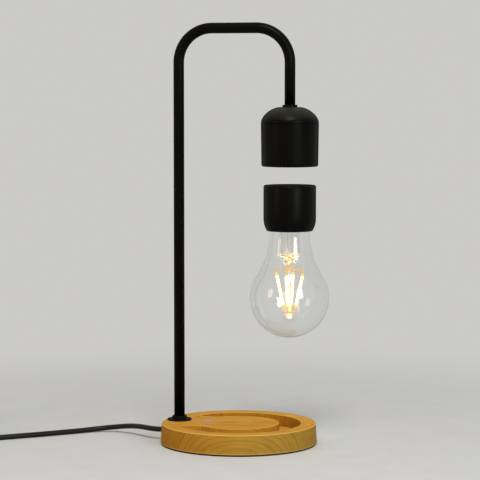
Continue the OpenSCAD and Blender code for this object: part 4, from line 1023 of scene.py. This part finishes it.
def makeHead():
    low, foot, radius, high, wall = take(head, "low lowRadius radius shellHeight wall")
    seam, rise, flat, drop, edge = take(head, "seam domeHeight flatRadius skirt lowEdge")
    bore = foot - wall
    skirt = bore - head["skirtGap"]
    within = skirt - head["skirtWall"]
    dome = [(skirt, -drop), (skirt, 0), (radius - seam, 0)] + lifted(domeSide(radius, rise - seam, flat, 36), seam)
    dome += [(arm["bore"], rise), (arm["bore"], rise - wall)]
    dome += domeSide(within, rise - wall, flat + 2, 20)[::-1] + [(within, -drop)]
    turnedPiece("headDome", lifted(dome, low + high), "black_shell", "head_dome", bulbSpot)
    shell = [(0, 0)] + arc(foot - edge, edge, edge, -90, 0, 10)
    shell += [(radius, high - seam), (radius - seam, high), (bore, high), (bore, wall), (0, wall)]
    turnedPiece("headShell", lifted(shell, low), "black_shell", "head_shell", bulbSpot)


makeHead()

# Floating holder of the bulb and the cap that closes it
holder = {
    "top": 243.7, "height": 42.4, "radius": 24.4, "straight": 31.0, "footRadius": 21.1, "wall": 2.0, "chamfer": 1.0,
    "foot": 0.8, "neck": 18.8, "cement": 19.9, "lip": 1.4, "hidden": 12.0, "ledge": 0.8, "carrier": -14.8,
    "capThick": 2.2, "capSink": 0.2, "capEdge": 0.25, "capGap": 0.1,
}


def makeHolder():
    top, high, radius, straight, foot, cut = take(holder, "top height radius straight foot chamfer")
    neck, cement, ledge, carrier = take(holder, "neck cement ledge carrier")
    rise, draw, bore = high - straight, radius - holder["footRadius"], radius - holder["wall"]
    curve = (rise * rise + draw * draw) / (2 * draw)
    lastTurn = degrees(asin((rise - foot) / curve))
    footRadius = radius - curve + curve * cos(radians(lastTurn))
    lip, hidden = holder["lip"] - high, holder["hidden"] - high
    profile = [(bore, 0), (radius - cut - 0.15, 0), (radius - cut + 0.1, -0.1)]
    profile += [(radius - 0.1, 0.1 - cut), (radius, -cut - 0.2)]
    profile += arc(radius - curve, -straight, curve, 0, -lastTurn, 18)
    profile += arc(footRadius - foot, foot - high, foot, -30, -80, 5)
    profile += [(neck, -high), (neck, lip), (cement, lip), (cement, hidden)]
    profile += [(bore - ledge, hidden + 2), (bore - ledge, carrier), (bore, carrier)]
    turnedPiece("holderShell", lifted(profile, top), "black_shell", "holder_shell", bulbSpot, body="bulb")
    cap, thick, edge, level = bore - holder["capGap"], holder["capThick"], holder["capEdge"], top - holder["capSink"]
    profile = lifted([(0, -thick), (cap, -thick), (cap, -edge), (cap - edge, 0), (0, 0)], level)
    turnedPiece("holderCap", profile, "black_shell", "holder_cap", bulbSpot, body="bulb")


makeHolder()

# Blown glass, and the stem that carries the filaments
bulb = {
    "neckRadius": 18.7, "radius": 37.1, "low": 201.3, "length": 99.7, "glass": 0.9, "hidden": 12.0,
    "stemRadius": 9.5, "stemWall": 1.0, "stemLength": 22.0, "funnel": 12.0, "column": 1.6, "columnLow": 119.1,
    "bead": 2.0, "flare": 7.0, "flareGap": 0.05, "flareEdge": 1.2,
}


def glassSide(depth):
    neck, ball, low = take(bulb, "neckRadius radius low")
    centre = low - bulb["length"] + ball
    rise = low - centre
    shoulder = (rise * rise / (ball - neck) - (ball + neck)) / 2
    turn = degrees(atan2(rise, neck + shoulder))
    side = [(neck - depth, low + bulb["hidden"] - 1)]
    side += arc(neck + shoulder, low, shoulder + depth, 180, 180 + turn, 34)
    return side + arc(0, centre, ball - depth, turn, -90, 60)[1:-1] + [(0, centre - ball + depth)]


def makeGlass():
    neck, top, thin = bulb["neckRadius"], bulb["low"] + bulb["hidden"], bulb["glass"]
    rim = [(neck - 0.15, top - 0.1), (neck - thin / 2, top), (neck - thin + 0.15, top - 0.1)]
    profile = glassSide(0)[::-1] + rim + glassSide(thin)
    addPiece("bulbGlass", lathed(profile, bulbSpot, 144), "bulb_glass", "bulb_glass", body="bulb", sharp=50.0)


def makeStem():
    stem, column, wall, flare, edge = take(bulb, "stemRadius column stemWall flare flareEdge")
    funnel, bead, low = take(bulb, "funnel bead columnLow")
    wide, top = bulb["neckRadius"] - bulb["glass"] - bulb["flareGap"], bulb["low"] + bulb["hidden"]
    start, inner = bulb["low"] - bulb["stemLength"], stem - wall
    twelfths = [k / 12 for k in range(1, 12)]
    outside = [(wide, top), (wide, top - edge)]
    outside += [(wide + (stem - wide) * t, top - edge - flare * t * t) for t in twelfths]
    outside += [(stem, top - edge - flare), (stem, start)]
    narrowing = [k / 14 for k in range(1, 14)]
    outside += [(stem + (column - stem) * t, start - funnel * (1 - (1 - t) ** 2) * 0.9) for t in narrowing]
    outside += [(column, start - funnel), (column, low + bead * 1.75)]
    outside += arc(0, low + bead, bead, 28, -90, 14)[:-1] + [(0, low)]
    hollow = [(0, start - funnel * 0.45), (stem * 0.2, start - funnel * 0.38), (stem * 0.38, start - funnel * 0.2)]
    hollow += [(inner - 1.0, start - 0.6), (inner, start + 1.2), (inner, top - flare)]
    hollow += [(wide - wall + (stem - wide) * t, top - flare * t * t) for t in reversed(twelfths)]
    hollow += [(wide - wall, top)]
    addPiece("bulbStem", lathed(hollow + outside, bulbSpot, 96), "stem_glass", "bulb_stem", body="bulb", sharp=40.0)


makeGlass()
makeStem()

# Crown of lit sticks between two spiders of support wire
crown = {
    "sticks": 4, "turn": 89.0, "upper": 165.0, "lower": 125.1, "reach": 15.3, "lowReach": 6.3, "topRadius": 12.75,
    "lowRadius": 5.7, "stickTop": 161.3, "stickLow": 130.1, "stick": 1.2, "cap": 2.2, "wire": 0.45, "hubIn": 1.6,
    "hubOut": 3.0, "hubHeight": 1.4, "hubEdge": 0.25, "seat": 0.1,
}


def aroundBulb(name, shape, slotName, node):
    piece = startPiece(name, shape, slotName, 40.0)
    centre = Vector((arm["bulbX"] * mm, 0, 0))
    throughTree(piece, aroundAxis, Count=crown["sticks"], Turn=radians(crown["turn"]), Centre=centre)
    settle(piece, slotName, node, body="bulb")


def makeSpider(name, level, reach, dropRadius, dropEnd, node):
    shape = bmesh.new()
    inner, outer, edge, wire, half = *take(crown, "hubIn hubOut hubEdge wire"), crown["hubHeight"] / 2
    roundedRod(shape, (inner + 0.3, 0, level), (reach, 0, level), wire, 0.4, 12)
    roundedRod(shape, (dropRadius, 0, level), (dropRadius, 0, dropEnd), wire, 0.2, 12)
    ring = [(inner, -half), (outer - edge, -half), (outer, edge - half)]
    ring += [(outer, half - edge), (outer - edge, half), (inner, half)]
    quarter = arc(0, 0, 1, -45, 45, 12)
    bridge(shape, [[shape.verts.new((r * x, r * y, level + z)) for r, z in ring] for x, y in quarter])
    aroundBulb(name, shape, "support_wire", node)


def makeSticks():
    thick, cap, topRadius, lowRadius, high, low = take(crown, "stick cap topRadius lowRadius stickTop stickLow")
    top, end = Vector((topRadius, 0, high)), Vector((lowRadius, 0, low))
    inset = (end - top).normalized() * cap
    lit, ends = bmesh.new(), bmesh.new()
    roundedRod(lit, top + inset, end - inset, thick, 0.5, 20)
    aroundBulb("ledFilaments", lit, "filament_glow", "led_filaments")
    for first, last in ((top, top + inset), (end - inset, end)):
        roundedRod(ends, first, last, thick - 0.1, 0.3, 20)
    aroundBulb("filamentEnds", ends, "filament_cap", "filament_ends")


upper, lower, seat = take(crown, "upper lower seat")
makeSpider("upperSpider", upper, crown["reach"], crown["topRadius"], crown["stickTop"] + seat, "upper_spider")
makeSpider("lowerSpider", lower, crown["lowReach"], crown["lowRadius"], crown["stickLow"] - seat, "lower_spider")
makeSticks()

print("all pieces made")
